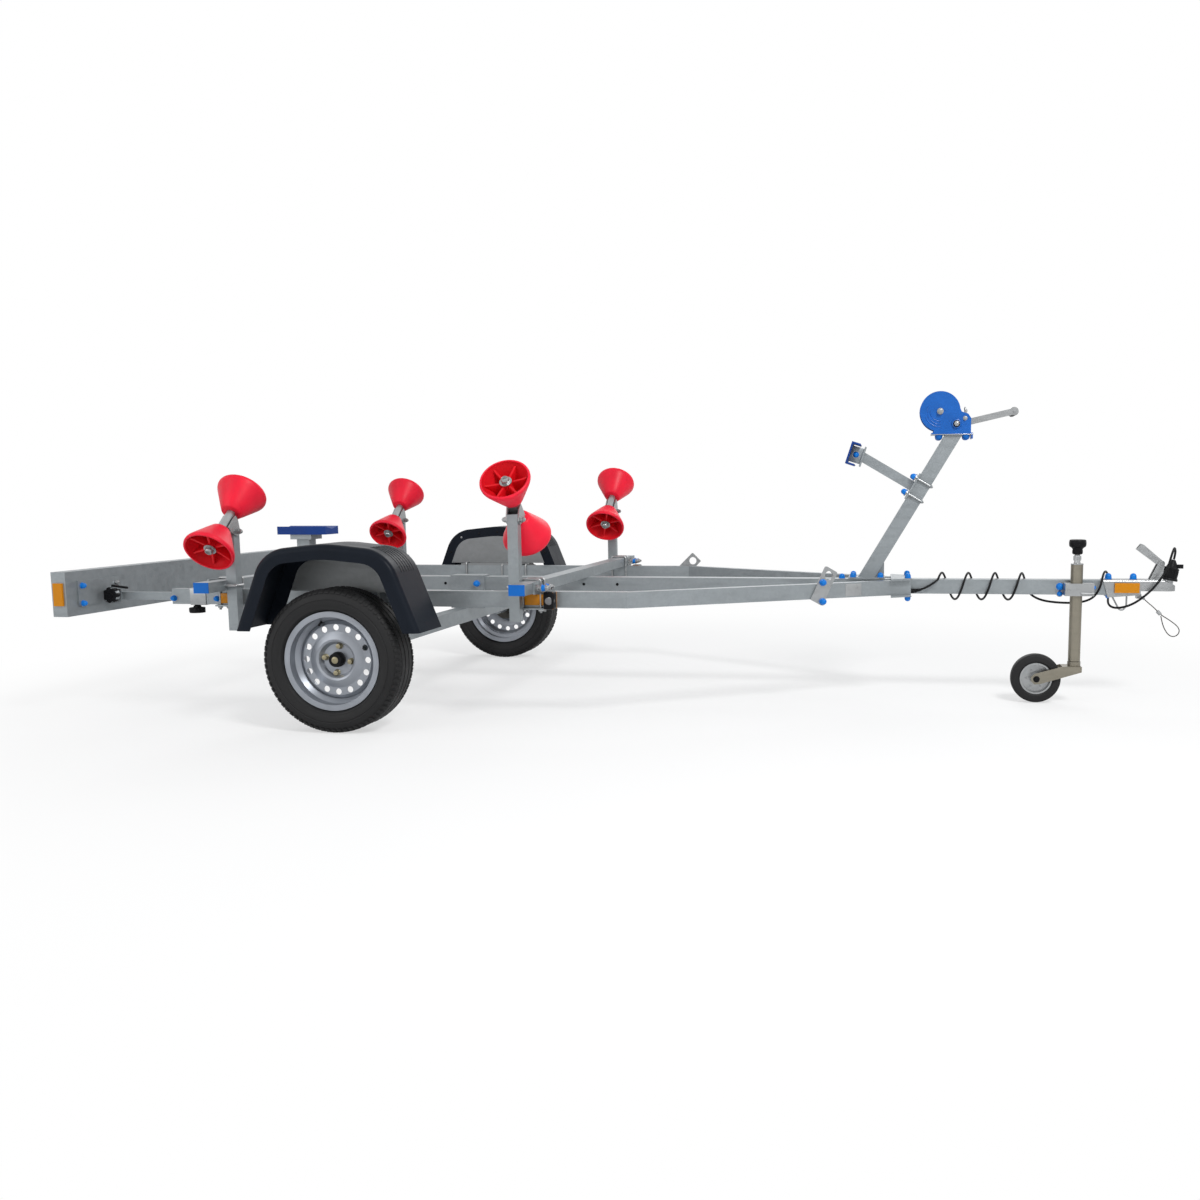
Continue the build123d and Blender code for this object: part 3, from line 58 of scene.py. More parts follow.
# places on the trailer in millimetres
AXLE_X = -1022.5
NOSE_X = 2152.5
FRAME_Z = 470.0
RAIL_HALF = 740.0
WHEEL_Y = 950.0
WHEEL_Z = 265.0
POST_Y = 780.0
BEAM_FROM_POST = 50.0

FORWARD, LEFT, UP, DOWN = (1, 0, 0), (0, 1, 0), (0, 0, 1), (0, 0, -1)


class Side(Enum):
    """The two sides of the trailer, with the sign of Y."""

    RIGHT = -1
    LEFT = 1

    @property
    def word(self) -> str:
        """The side's name as the nodes have it."""
        return self.name.lower()


class End(Enum):
    """The two cross beams: place of the post from the axle, pivot height, side of the beam."""

    FRONT = (625.0, 770.0, 1)
    REAR = (-504.0, 727.0, -1)

    @property
    def word(self) -> str:
        """The end's name as the nodes have it."""
        return self.name.lower()

    @property
    def post_x(self) -> float:
        """X of the middle of the end's posts."""
        return AXLE_X + self.value[0]

    @property
    def beam_x(self) -> float:
        """X of the middle of the end's cross beam."""
        return self.post_x + self.value[2] * BEAM_FROM_POST


class Assembly(Protocol):
    """What main builds: each sub-assembly, the cords and the studio."""

    def build(self) -> None:
        """Makes its pieces."""


# ------------------------------------------------------------------ finishes


class Shader:
    """The nodes of one material, on Object coordinates."""

    def __init__(self, name: str) -> None:
        """Starts a material with its shader and its coordinates.

        Args:
            name: the material's name.
        """
        self.material = bpy.data.materials.new(name)
        self.material.use_nodes = True
        self.tree = self.material.node_tree
        self.bsdf = self.tree.nodes["Principled BSDF"]
        self.coords = self.tree.nodes.new("ShaderNodeTexCoord").outputs["Object"]

    def node(self, kind: str, **settings: object) -> bpy.types.Node:
        """Adds a node and gives it its settings.

        Args:
            kind: the node's type.
            settings: its properties by name.

        Returns:
            The new node.
        """
        made = self.tree.nodes.new(kind)
        for key, value in settings.items():
            setattr(made, key, value)
        return made

    def join(self, source: bpy.types.NodeSocket, target: bpy.types.NodeSocket) -> None:
        """Links two sockets."""
        self.tree.links.new(source, target)

    def mapped(self, stretch: Point) -> bpy.types.NodeSocket:
        """Coordinates scaled along each axis.

        Args:
            stretch: the scale along X, Y and Z.

        Returns:
            The mapped vector.
        """
        mapping = self.node("ShaderNodeMapping")
        mapping.inputs["Scale"].default_value = stretch
        self.join(self.coords, mapping.inputs["Vector"])
        return mapping.outputs["Vector"]

    def noise(self, scale: float, detail: float = 4.0, stretch: Point = (1, 1, 1)) -> bpy.types.NodeSocket:
        """A cloudy value around a half.

        Args:
            scale: clouds in a metre.
            detail: the number of finer layers.
            stretch: the scale along each axis.

        Returns:
            The noise value.
        """
        made = self.node("ShaderNodeTexNoise")
        made.inputs["Scale"].default_value = scale
        made.inputs["Detail"].default_value = detail
        self.join(self.mapped(stretch), made.inputs["Vector"])
        return made.outputs["Fac"]

    def cells(self, scale: float, output: str = "Color", randomness: float = 1.0) -> bpy.types.NodeSocket:
        """Crystals or prisms side by side.

        Args:
            scale: how many in a metre.
            output: Color for a random grey in each, Distance for their height.
            randomness: 0 for an even grid, 1 for none.

        Returns:
            The cells' output.
        """
        made = self.node("ShaderNodeTexVoronoi")
        made.inputs["Scale"].default_value = scale
        made.inputs["Randomness"].default_value = randomness
        self.join(self.mapped((1, 1, 1)), made.inputs["Vector"])
        return made.outputs[output]

    def ramp(self, value: bpy.types.NodeSocket, *stops: tuple[float, Colour]) -> bpy.types.NodeSocket:
        """A colour that follows a value.

        Args:
            value: the driving value.
            stops: places from 0 to 1, each with its colour.

        Returns:
            The ramp's colour.
        """
        made = self.node("ShaderNodeValToRGB")
        band = made.color_ramp
        for place, _ in stops[2:]:
            band.elements.new(place)
        elements = sorted(band.elements, key=lambda element: element.position)
        for element, (place, colour) in zip(elements, sorted(stops)):
            element.position = place
            element.color = (*colour, 1.0)
        self.join(value, made.inputs["Fac"])
        return made.outputs["Color"]

    def mix(
        self, share: float, first: bpy.types.NodeSocket, second: bpy.types.NodeSocket
    ) -> bpy.types.NodeSocket:
        """Two colours mixed.

        Args:
            share: how much of the second.
            first: the first colour.
            second: the second colour.

        Returns:
            The mixed colour.
        """
        made = self.node("ShaderNodeMix", data_type="RGBA")
        made.inputs["Factor"].default_value = share
        self.join(first, made.inputs["A"])
        self.join(second, made.inputs["B"])
        return made.outputs["Result"]

    def rough(self, value: bpy.types.NodeSocket, low: float, high: float) -> None:
        """Lets the roughness follow a value.

        Args:
            value: the driving value.
            low: roughness where the value is 0.3.
            high: roughness where the value is 0.7.
        """
        made = self.node("ShaderNodeMapRange")
        for key, number in (("From Min", 0.3), ("From Max", 0.7), ("To Min", low), ("To Max", high)):
            made.inputs[key].default_value = number
        self.join(value, made.inputs["Value"])
        self.join(made.outputs["Result"], self.bsdf.inputs["Roughness"])

    def bump(self, height: bpy.types.NodeSocket, strength: float, depth: float) -> None:
        """Raises the surface by a value.

        Args:
            height: the height value.
            strength: how strongly it shows.
            depth: the height in metres.
        """
        made = self.node("ShaderNodeBump")
        made.inputs["Strength"].default_value = strength
        made.inputs["Distance"].default_value = depth
        self.join(height, made.inputs["Height"])
        self.join(made.outputs["Normal"], self.bsdf.inputs["Normal"])

    def set(self, **values: object) -> None:
        """Sets constants on the shader's own sockets.

        Args:
            values: the numbers by socket, with underscores for spaces.
        """
        for key, value in values.items():
            self.bsdf.inputs[key.replace("_", " ")].default_value = value


def darker(colour: Colour, share: float) -> Colour:
    """The colour times a share."""
    return (colour[0] * share, colour[1] * share, colour[2] * share)


@dataclass(frozen=True)
class Finish:
    """A finish: its name, a slot name that is not used, and its colour."""

    name: str
    slot: str
    colour: Colour

    def material(self) -> bpy.types.Material:
        """Finds the finish's material, or makes it the first time.

        Returns:
            The material.
        """
        made = bpy.data.materials.get(self.name)
        if made is None:
            shader = Shader(self.name)
            self.paint(shader)
            made = shader.material
        return made

    def paint(self, shader: Shader) -> None:
        """Builds the nodes; each kind of finish has its own."""
        raise NotImplementedError

    def tones(
        self, shader: Shader, value: bpy.types.NodeSocket, *stops: tuple[float, float]
    ) -> bpy.types.NodeSocket:
        """The finish's colour, darker and lighter along a value.

        Args:
            shader: the material to add to.
            value: the driving value.
            stops: places from 0 to 1, each with its share of the colour.

        Returns:
            The colour.
        """
        return shader.ramp(value, *((place, darker(self.colour, share)) for place, share in stops))

    def cloudy(self, shader: Shader, clouds: "Clouds", shine: tuple[float, float], bumps: float) -> None:
        """Clouds in the colour and the roughness, and a fine raised grain.

        Args:
            shader: the material to paint.
            clouds: the clouds and the grain.
            shine: the roughness at the low and the high end of the clouds.
            bumps: how strongly the grain shows.
        """
        value = shader.noise(clouds.scale, clouds.detail)
        fine = shader.noise(clouds.grain, clouds.grain_detail)
        shader.join(self.tones(shader, value, *clouds.stops), shader.bsdf.inputs["Base Color"])
        shader.rough(value, *shine)
        shader.bump(fine, bumps, clouds.depth)


@dataclass(frozen=True)
class Clouds:
    """Clouds in a metre with their detail and tones, and the grain with its depth in metres."""

    scale: float
    detail: float
    stops: Sequence[tuple[float, float]]
    grain: float
    grain_detail: float
    depth: float


@dataclass(frozen=True)
class Zinc(Finish):
    """Hot dip galvanised or plated steel with its crystals and dull clouds."""

    crystals: float = 90.0
    contrast: float = 0.12
    metal: float = 0.75
    shine: tuple[float, float] = (0.34, 0.52)
    relief: float = 0.08

    def paint(self, shader: Shader) -> None:
        """Builds clouds, crystals and streaks over each other.

        Args:
            shader: an empty material.
        """
        clouds = shader.noise(7.0, 5.0, (1.0, 1.6, 2.2))
        streaks = shader.noise(30.0, 6.0, (0.35, 1.0, 1.6))
        crystals = shader.cells(self.crystals)
        base = self.tones(shader, clouds, (0.3, 1.0 - self.contrast), (0.5, 1.0), (0.72, 1.0 + self.contrast))
        grain = self.tones(shader, crystals, (0.1, 0.9), (0.9, 1.12))
        marks = self.tones(shader, streaks, (0.38, 0.86), (0.52, 1.0), (0.8, 1.0))
        mixed = shader.mix(0.35, shader.mix(0.45, base, grain), marks)
        shader.join(mixed, shader.bsdf.inputs["Base Color"])
        shader.rough(streaks, *self.shine)
        shader.bump(crystals, self.relief, 0.0006)
        shader.set(Metallic=self.metal)


@dataclass(frozen=True)
class Enamel(Finish):
    """Sprayed paint on pressed steel, with orange peel and a little dust."""

    metal: float = 0.0
    coat: float = 0.25
    clouds: Clouds = Clouds(14.0, 5.0, ((0.3, 0.9), (0.55, 1.0), (0.8, 1.1)), 420.0, 2.0, 0.0004)

    def paint(self, shader: Shader) -> None:
        """Builds the paint.

        Args:
            shader: an empty material.
        """
        self.cloudy(shader, self.clouds, (0.28, 0.42), 0.06)
        shader.set(Metallic=self.metal, Coat_Weight=self.coat, Coat_Roughness=0.2, Specular_IOR_Level=0.35)


@dataclass(frozen=True)
class Moulded(Finish):
    """Moulded plastic or polyurethane: a fine grain and faint clouds in the colour."""

    shine: tuple[float, float] = (0.38, 0.5)
    grain: float = 0.08
    glow: float = 0.0
    gloss: float = 0.24
    clouds: Clouds = Clouds(11.0, 5.0, ((0.3, 0.88), (0.55, 1.0), (0.8, 1.08)), 900.0, 3.0, 0.0005)

    def paint(self, shader: Shader) -> None:
        """Builds the plastic.

        Args:
            shader: an empty material.
        """
        self.cloudy(shader, self.clouds, self.shine, self.grain)
        shader.set(Subsurface_Weight=self.glow, Subsurface_Scale=0.01, Specular_IOR_Level=self.gloss)


@dataclass(frozen=True)
class Rubber(Finish):
    """Black rubber with dusty patches."""

    clouds: Clouds = Clouds(16.0, 7.0, ((0.35, 1.0), (0.6, 1.35), (0.85, 1.9)), 500.0, 4.0, 0.0006)

    def paint(self, shader: Shader) -> None:
        """Builds the rubber.

        Args:
            shader: an empty material.
        """
        self.cloudy(shader, self.clouds, (0.5, 0.7), 0.15)
        shader.set(Specular_IOR_Level=0.28)


@dataclass(frozen=True)
class Lens(Finish):
    """A clear coloured lens over small prisms."""

    prisms: float = 260.0

    def paint(self, shader: Shader) -> None:
        """Builds the lens.

        Args:
            shader: an empty material.
        """
        height = shader.cells(self.prisms, "Distance", 0.12)
        # painted shade in the grooves between the prisms and painted highlights on their middles, from each
        # prism's height
        deep = self.tones(shader, height, (0.1, 1.15), (0.7, 0.72))
        flat = self.tones(shader, shader.noise(20.0, 3.0), (0.3, 0.9), (0.7, 1.0))
        shader.join(shader.mix(0.5, deep, flat), shader.bsdf.inputs["Base Color"])
        shader.bump(height, 0.25, 0.001)
        shader.set(Roughness=0.28, Coat_Weight=0.12, Coat_Roughness=0.1, Specular_IOR_Level=0.2)


GALVANISED = Zinc("galvanised_steel", "galvanised", (0.275, 0.300, 0.314), metal=0.6)
PLATED = Zinc(
    "plated_steel", "bright_zinc", (0.36, 0.37, 0.375),
    crystals=60.0, contrast=0.08, metal=0.8, shine=(0.26, 0.38), relief=0.03,
)
SHEET = Zinc(
    "bare_sheet", "galvanised", (0.235, 0.245, 0.25),
    crystals=60.0, contrast=0.08, metal=0.6, shine=(0.4, 0.55),
)
JOCKEY_ZINC = Zinc(
    "jockey_steel", "bright_zinc", (0.245, 0.225, 0.180),
    crystals=50.0, contrast=0.08, metal=0.7, shine=(0.3, 0.42), relief=0.03,
)
BRASSY = Zinc(
    "yellow_zinc", "bright_zinc", (0.30, 0.265, 0.17),
    crystals=60.0, metal=0.7, shine=(0.3, 0.45), relief=0.03,
)
DARK_STEEL = Zinc(
    "dark_steel", "bright_zinc", (0.055, 0.052, 0.045),
    crystals=60.0, metal=0.4, shine=(0.4, 0.55), relief=0.03,
)
WHEEL_PAINT = Enamel("wheel_silver_paint", "wheel_silver", (0.30, 0.32, 0.355), metal=0.6)
WINCH_PAINT = Enamel("winch_blue_paint", "winch_blue", (0.002, 0.100, 0.42), coat=0.04)
RED = Moulded("roller_red", "red_roller", (0.86, 0.012, 0.040), shine=(0.36, 0.46), grain=0.05, glow=0.08)
# a darker copy of the rollers' red: painted shade for their hollow insides
RED_SHADE = Moulded("roller_red_inside", "red_roller", (0.72, 0.006, 0.014), shine=(0.42, 0.55))
BLUE = Moulded("cap_blue", "blue_plastic", (0.002, 0.180, 0.64), shine=(0.26, 0.36), grain=0.03)
DEEP_BLUE = Moulded("end_cap_blue", "blue_plastic", (0.002, 0.120, 0.47), shine=(0.34, 0.44))
PAD_BLUE = Moulded("pad_blue", "blue_plastic", (0.004, 0.040, 0.22), shine=(0.42, 0.55))
GUARD = Moulded(
    "guard_charcoal", "guard_black", (0.0100, 0.0130, 0.0190), shine=(0.32, 0.42), grain=0.2, gloss=0.06
)
BLACK = Moulded("black_plastic_part", "black_plastic", (0.005, 0.005, 0.006), shine=(0.34, 0.46), gloss=0.14)
CABLE = Moulded("cable_sheath", "black_plastic", (0.008, 0.008, 0.009), grain=0.04, gloss=0.14)
TYRE = Rubber("tyre_rubber", "tyre", (0.0085, 0.0085, 0.0090))
AMBER = Lens("amber_lens", "amber", (0.60, 0.220, 0.001))
RED_LENS = Lens("red_lens", "lamp_red", (0.48, 0.006, 0.006))
CLEAR_LENS = Lens("clear_lens", "galvanised", (0.16, 0.16, 0.165), prisms=180.0)


# ------------------------------------------------------------------ shapes


def seat(point: Point | Vector, across: Point, facing: Point) -> Matrix:
    """A place to build at: local X across, local Z facing, local Y the third way.

    Args:
        point: the origin.
        across: the direction of local X.
        facing: the direction of local Z.

    Returns:
        The matrix from local to the trailer's millimetres.
    """
    z = Vector(facing).normalized()
    x = (Vector(across) - z * z.dot(Vector(across))).normalized()
    turn = Matrix((x, z.cross(x), z)).transposed()
    return Matrix.Translation(Vector(point)) @ turn.to_4x4()


def upright(x: float, y: float, z: float) -> Matrix:
    """A place with local Z up and local X forward."""
    return seat((x, y, z), FORWARD, UP)


def aside(x: float, y: float, z: float, way: float) -> Matrix:
    """A place with local X forward and local Z to the side that way's sign gives."""
    return seat((x, y, z), FORWARD, (0, way, 0))


def lengthways(x: float, y: float, z: float, way: float, across: Point = UP) -> Matrix:
    """A place with local X across and local Z forward or back, as way's sign says."""
    return seat((x, y, z), across, (way, 0, 0))


def outward(x: float, y: float, z: float, side: Side) -> Matrix:
    """A place with local Z away from the trailer's middle and local Y up."""
    return seat((x, y, z), (-side.value, 0, 0), (0, side.value, 0))


def shifted(place: Matrix, x: float = 0.0, y: float = 0.0, z: float = 0.0) -> Matrix:
    """A place moved along its own axes."""
    return place @ Matrix.Translation((x, y, z))


def turns(count: int, start: float = 0.0) -> list[Matrix]:
    """Even turns about local Z, from a first angle in radians."""
    return [Matrix.Rotation(k * math.tau / count + start, 4, "Z") for k in range(count)]


def turned(profile: Outline, steps: int = 28) -> bmesh.types.BMesh:
    """A turned shape about local Z.

    Args:
        profile: places along the axis, each with its radius.
        steps: flats in the full turn.

    Returns:
        The shape.
    """
    part = bmesh.new()
    verts = [part.verts.new((radius, 0.0, along)) for along, radius in profile]
    edges = [part.edges.new(pair) for pair in zip(verts, verts[1:])]
    bmesh.ops.spin(
        part, geom=verts + edges, cent=(0, 0, 0), axis=UP, angle=math.tau, steps=steps, use_merge=True
    )
    bmesh.ops.remove_doubles(part, verts=part.verts, dist=0.01)
    bmesh.ops.dissolve_degenerate(part, edges=part.edges, dist=0.001)
    bmesh.ops.recalc_face_normals(part, faces=part.faces)
    return part


def disc(foot: float, top: float, radius: float, steps: int = 20) -> bmesh.types.BMesh:
    """A round bar or washer about local Z.

    Args:
        foot: where it starts along local Z.
        top: where it ends.
        radius: its radius.
        steps: flats in the full turn.

    Returns:
        The shape.
    """
    return turned([(foot, 0), (foot, radius), (top, radius), (top, 0)], steps)


def mirrored(half: Outline) -> list[tuple[float, float]]:
    """A closed profile from its half on one side of the middle.

    Args:
        half: places along the axis, each with its radius, from inside to outside.

    Returns:
        The whole profile.
    """
    return [*half, *((-along, radius) for along, radius in reversed(half)), half[0]]


def soften(
    part: bmesh.types.BMesh, edges: Iterable[bmesh.types.BMEdge], width: float, segments: int = 2
) -> None:
    """Rounds edges of a shape.

    Args:
        part: the shape.
        edges: the edges to round.
        width: the width of the round.
        segments: flats in the round.
    """
    bmesh.ops.bevel(
        part, geom=list(edges), offset=width, offset_type="OFFSET", affect="EDGES", segments=segments,
        profile=0.5, material=-1, clamp_overlap=True,
    )


def rise_of(edge: bmesh.types.BMEdge) -> float:
    """How far an edge climbs along local Z."""
    return abs(edge.verts[0].co.z - edge.verts[1].co.z)


def plate(outline: Outline, thick: float, edge: float = 0.0) -> bmesh.types.BMesh:
    """A flat shape on local XY, thickened along local Z.

    Args:
        outline: its corners in order.
        thick: its thickness.
        edge: the round of its rim.

    Returns:
        The shape.
    """
    part = bmesh.new()
    face = part.faces.new([part.verts.new((x, y, 0.0)) for x, y in outline])
    grown = bmesh.ops.extrude_face_region(part, geom=[face])["geom"]
    top = [vert for vert in grown if isinstance(vert, bmesh.types.BMVert)]
    bmesh.ops.translate(part, vec=(0, 0, thick), verts=top)
    bmesh.ops.recalc_face_normals(part, faces=part.faces)
    if edge:
        soften(part, [rim for rim in part.edges if rise_of(rim) < 1e-6], edge)
    return part


def block(x: float, y: float, z: float, edge: float = 1.5) -> bmesh.types.BMesh:
    """A box about the local origin with rounded edges.

    Args:
        x: its size along local X.
        y: its size along local Y.
        z: its size along local Z.
        edge: the round of its edges.

    Returns:
        The shape.
    """
    part = bmesh.new()
    bmesh.ops.create_cube(part, size=1.0)
    bmesh.ops.scale(part, vec=(x, y, z), verts=part.verts)
    soften(part, part.edges, edge)
    return part


def prism(sides: int, radius: float, height: float, edge: float = 0.8) -> bmesh.types.BMesh:
    """A bar with flats, standing on local XY.

    Args:
        sides: the number of flats.
        radius: the radius over its corners.
        height: its height along local Z.
        edge: the round at its ends.

    Returns:
        The shape.
    """
    turn = math.tau / sides
    corners = [(radius * math.cos(k * turn), radius * math.sin(k * turn)) for k in range(sides)]
    return plate(corners, height, edge)


def tube(width: float, tall: float, length: float, wall: float = 3.0, edge: float = 3.0) -> bmesh.types.BMesh:
    """A rectangular tube along local Z with open ends and rounded corners.

    Args:
        width: its size along local X.
        tall: its size along local Y.
        length: its length.
        wall: its wall.
        edge: the round of its outer corners.

    Returns:
        The shape.
    """
    part = bmesh.new()
    bmesh.ops.create_cube(part, size=1.0)
    bmesh.ops.scale(part, vec=(width, tall, length), verts=part.verts)
    bmesh.ops.translate(part, vec=(0, 0, length / 2), verts=part.verts)
    soften(part, [side for side in part.edges if rise_of(side) > 1.0], edge, 3)
    ends = [face for face in part.faces if abs(face.normal.z) > 0.9]
    bmesh.ops.inset_region(part, faces=ends, thickness=wall, use_even_offset=True)
    # the inset leaves a ring of four-sided faces round each end's many-sided middle
    ends = [face for face in part.faces if abs(face.normal.z) > 0.9 and len(face.verts) > 4]
    rims = [side for face in ends for side in face.edges]
    bmesh.ops.delete(part, geom=ends, context="FACES_ONLY")
    bmesh.ops.bridge_loops(part, edges=rims)
    bmesh.ops.recalc_face_normals(part, faces=part.faces)
    return part


@dataclass(frozen=True)
class Run:
    """A straight stretch of a bent rod."""

    length: float


@dataclass(frozen=True)
class Bend:
    """A bend of a rod: its angle in degrees, its radius and the local way it turns to.

    A way along the rod itself keeps it straight: what follows is thinner and shorter.
    """

    angle: float
    radius: float
    way: Point


def rod(radius: float, moves: Sequence[Run | Bend], sides: int = 12) -> bmesh.types.BMesh:
    """A bent round bar that starts at the local origin along local Z.

    Args:
        radius: the bar's radius.
        moves: its runs and bends in order.
        sides: flats round the bar.

    Returns:
        The shape.
    """
    part = bmesh.new()
    bmesh.ops.create_circle(part, cap_ends=False, segments=sides, radius=radius)
    ring = list(part.edges)
    heading, place = Vector((0, 0, 1)), Vector((0, 0, 0))
    for move in moves:
        if isinstance(move, Run):
            grown = bmesh.ops.extrude_edge_only(part, edges=ring)["geom"]
            verts = {item for item in grown if isinstance(item, bmesh.types.BMVert)}
            bmesh.ops.translate(part, vec=heading * move.length, verts=list(verts))
            grown_edges = [item for item in grown if isinstance(item, bmesh.types.BMEdge)]
            ring = [edge for edge in grown_edges if verts.issuperset(edge.verts)]
            place += heading * move.length
        else:
            way = Vector(move.way)
            way = (way - heading * heading.dot(way)).normalized()
            centre = place + way * move.radius
            angle = math.radians(move.angle)
            verts = list({vert for edge in ring for vert in edge.verts})
            last = bmesh.ops.spin(
                part, geom=ring + verts, cent=centre, axis=heading.cross(way), angle=angle,
                steps=max(3, int(move.angle / 12)),
            )["geom_last"]
            ring = [item for item in last if isinstance(item, bmesh.types.BMEdge)]
            outwards = -way * math.cos(angle) + heading * math.sin(angle)
            place = centre + outwards * move.radius
            heading = heading * math.cos(angle) + way * math.sin(angle)
    bmesh.ops.holes_fill(part, edges=part.edges, sides=sides)
    bmesh.ops.recalc_face_normals(part, faces=part.faces)
    return part


class Shape:
    """Several shapes gathered in one mesh, each at its own place."""

    def __init__(self, *parts: tuple[bmesh.types.BMesh, Matrix]) -> None:
        """Starts with some shapes.

        Args:
            parts: shapes, each with its place.
        """
        self.bm = bmesh.new()
        for part, place in parts:
            self.add(part, place)

    def add(self, part: bmesh.types.BMesh, place: Matrix | None = None) -> None:
        """Adds a shape and frees it.

        Args:
            part: the shape.
            place: where it goes, in millimetres.
        """
        if place is not None:
            bmesh.ops.transform(part, matrix=place, verts=part.verts)
        swap = bpy.data.meshes.new("swap")
        part.to_mesh(swap)
        part.free()
        self.bm.from_mesh(swap)
        bpy.data.meshes.remove(swap)


class Bench:
    """Turns shapes into finished pieces and dresses the nodes."""

    made: list[str] = []
    metres = 0.001

    @classmethod
    def put(
        cls,
        name: str,
        shape: Shape,
        body: str,
        finish: Finish,
        stands_for: Sequence[str] = (),
        crease: float = 38.0,
    ) -> bpy.types.Object:
        """Makes a piece of a shape.

        Args:
            name: the piece's name.
            shape: its shape, in millimetres.
            body: the body that it rides on.
            finish: its finish.
            stands_for: the nodes that it replaces.
            crease: faces that meet at more than this angle keep a hard edge.

        Returns:
            The piece's object.
        """
        bmesh.ops.scale(shape.bm, vec=(cls.metres,) * 3, verts=shape.bm.verts)
        mesh = bpy.data.meshes.new(name)
        shape.bm.to_mesh(mesh)
        shape.bm.free()
        mesh.shade_smooth()
        mesh.set_sharp_from_angle(angle=math.radians(crease))
        mesh.materials.append(finish.material())
        piece = bpy.data.objects.new(name, mesh)
        bpy.context.scene.collection.objects.link(piece)
        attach(piece, body)
        if stands_for:
            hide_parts(*stands_for)
        cls.made.append(name)
        return piece

    @staticmethod
    def dress(finish: Finish, *nodes: str) -> None:
        """Gives nodes a finish.

        Args:
            finish: the finish.
            nodes: the nodes' names.
        """
        for name in nodes:
            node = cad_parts[name]
            node.data.materials.clear()
            node.data.materials.append(finish.material())


# ------------------------------------------------------------------ hardware


@dataclass
class Hardware:
    """Bolts, nuts, caps and U-bolts, gathered by finish for one body."""

    name: str
    body: str
    cap_radius: float = 14.0
    cap_height: float = 25.0
    # shares of the cap's height, each with its share of the radius
    cap_dome: Outline = ((0.5, 0.97), (0.7, 0.88), (0.88, 0.62), (0.97, 0.3), (1, 0))
    washer: float = 2.0
    nut_height: float = 0.9
    nut_seat: float = 14.0
    steel: Shape = field(default_factory=Shape)
    blue: Shape = field(default_factory=Shape)

    def cap(self, place: Matrix, size: float = 1.0) -> None:
        """A blue domed cap over a nut.

        Args:
            place: its foot, with local Z out of the surface.
            size: its scale.
        """
        r, h = self.cap_radius * size, self.cap_height * size
        brim = [(0, 0), (0, r + 1.5), (2, r + 1.5), (3, r)]
        dome = [(rise * h, share * r) for rise, share in self.cap_dome]
        self.blue.add(turned(brim + dome, 20), place)
        self.steel.add(disc(-2, 0, r + 4), place)

    def nut(self, place: Matrix, radius: float = 10.0, thread: float = 10.0) -> None:
        """A washer, a nut and the end of its thread.

        Args:
            place: its foot, with local Z out of the surface.
            radius: the nut's radius over the corners.
            thread: how far the thread stands out of the nut.
        """
        self.steel.add(disc(0, self.washer, radius * 1.3), place)
        self.steel.add(prism(6, radius, radius * self.nut_height), shifted(place, z=self.washer))
        top, shank = self.washer + radius * self.nut_height, radius * 0.5
        rings = [(top - 1, 0), (top - 1, shank)]
        pitches = max(1, int(thread / 2))
        for k in range(pitches):
            crest = top + 2 * k
            rings += [(crest + 0.4, shank), (crest + 1.2, shank * 0.86), (crest + 2.0, shank)]
        end = top + 2 * pitches + 0.8
        self.steel.add(turned(rings + [(end, shank * 0.8), (end, 0)], 12), place)

    def u_bolt(self, place: Matrix, width: float, leg: float, radius: float = 5.0) -> None:
        """A U-bolt whose legs end at local Z = 0, with its bow at local Z = leg.

        Args:
            place: the middle between the legs' ends, legs apart along local X.
            width: between the legs' middles.
            leg: from the legs' ends to the middle of the bow.
            radius: the rod's radius.
        """
        corner = radius * 1.8
        straight = Run(leg - corner)
        bow = (Bend(90, corner, (1, 0, 0)), Run(width - 2 * corner), Bend(90, corner, (0, 0, -1)))
        self.steel.add(rod(radius, (straight, *bow, straight)), shifted(place, -width / 2))
        for end in (-width / 2, width / 2):
            self.nut(shifted(place, end, z=self.nut_seat) @ Matrix.Rotation(math.pi, 4, "X"), thread=6.0)

    def finish(self) -> None:
        """Makes the pieces."""
        if self.steel.bm.verts:
            Bench.put(f"{self.name}_bolts", self.steel, self.body, PLATED)
        if self.blue.bm.verts:
            Bench.put(f"{self.name}_caps", self.blue, self.body, BLUE)


# ------------------------------------------------------------------ studio and camera


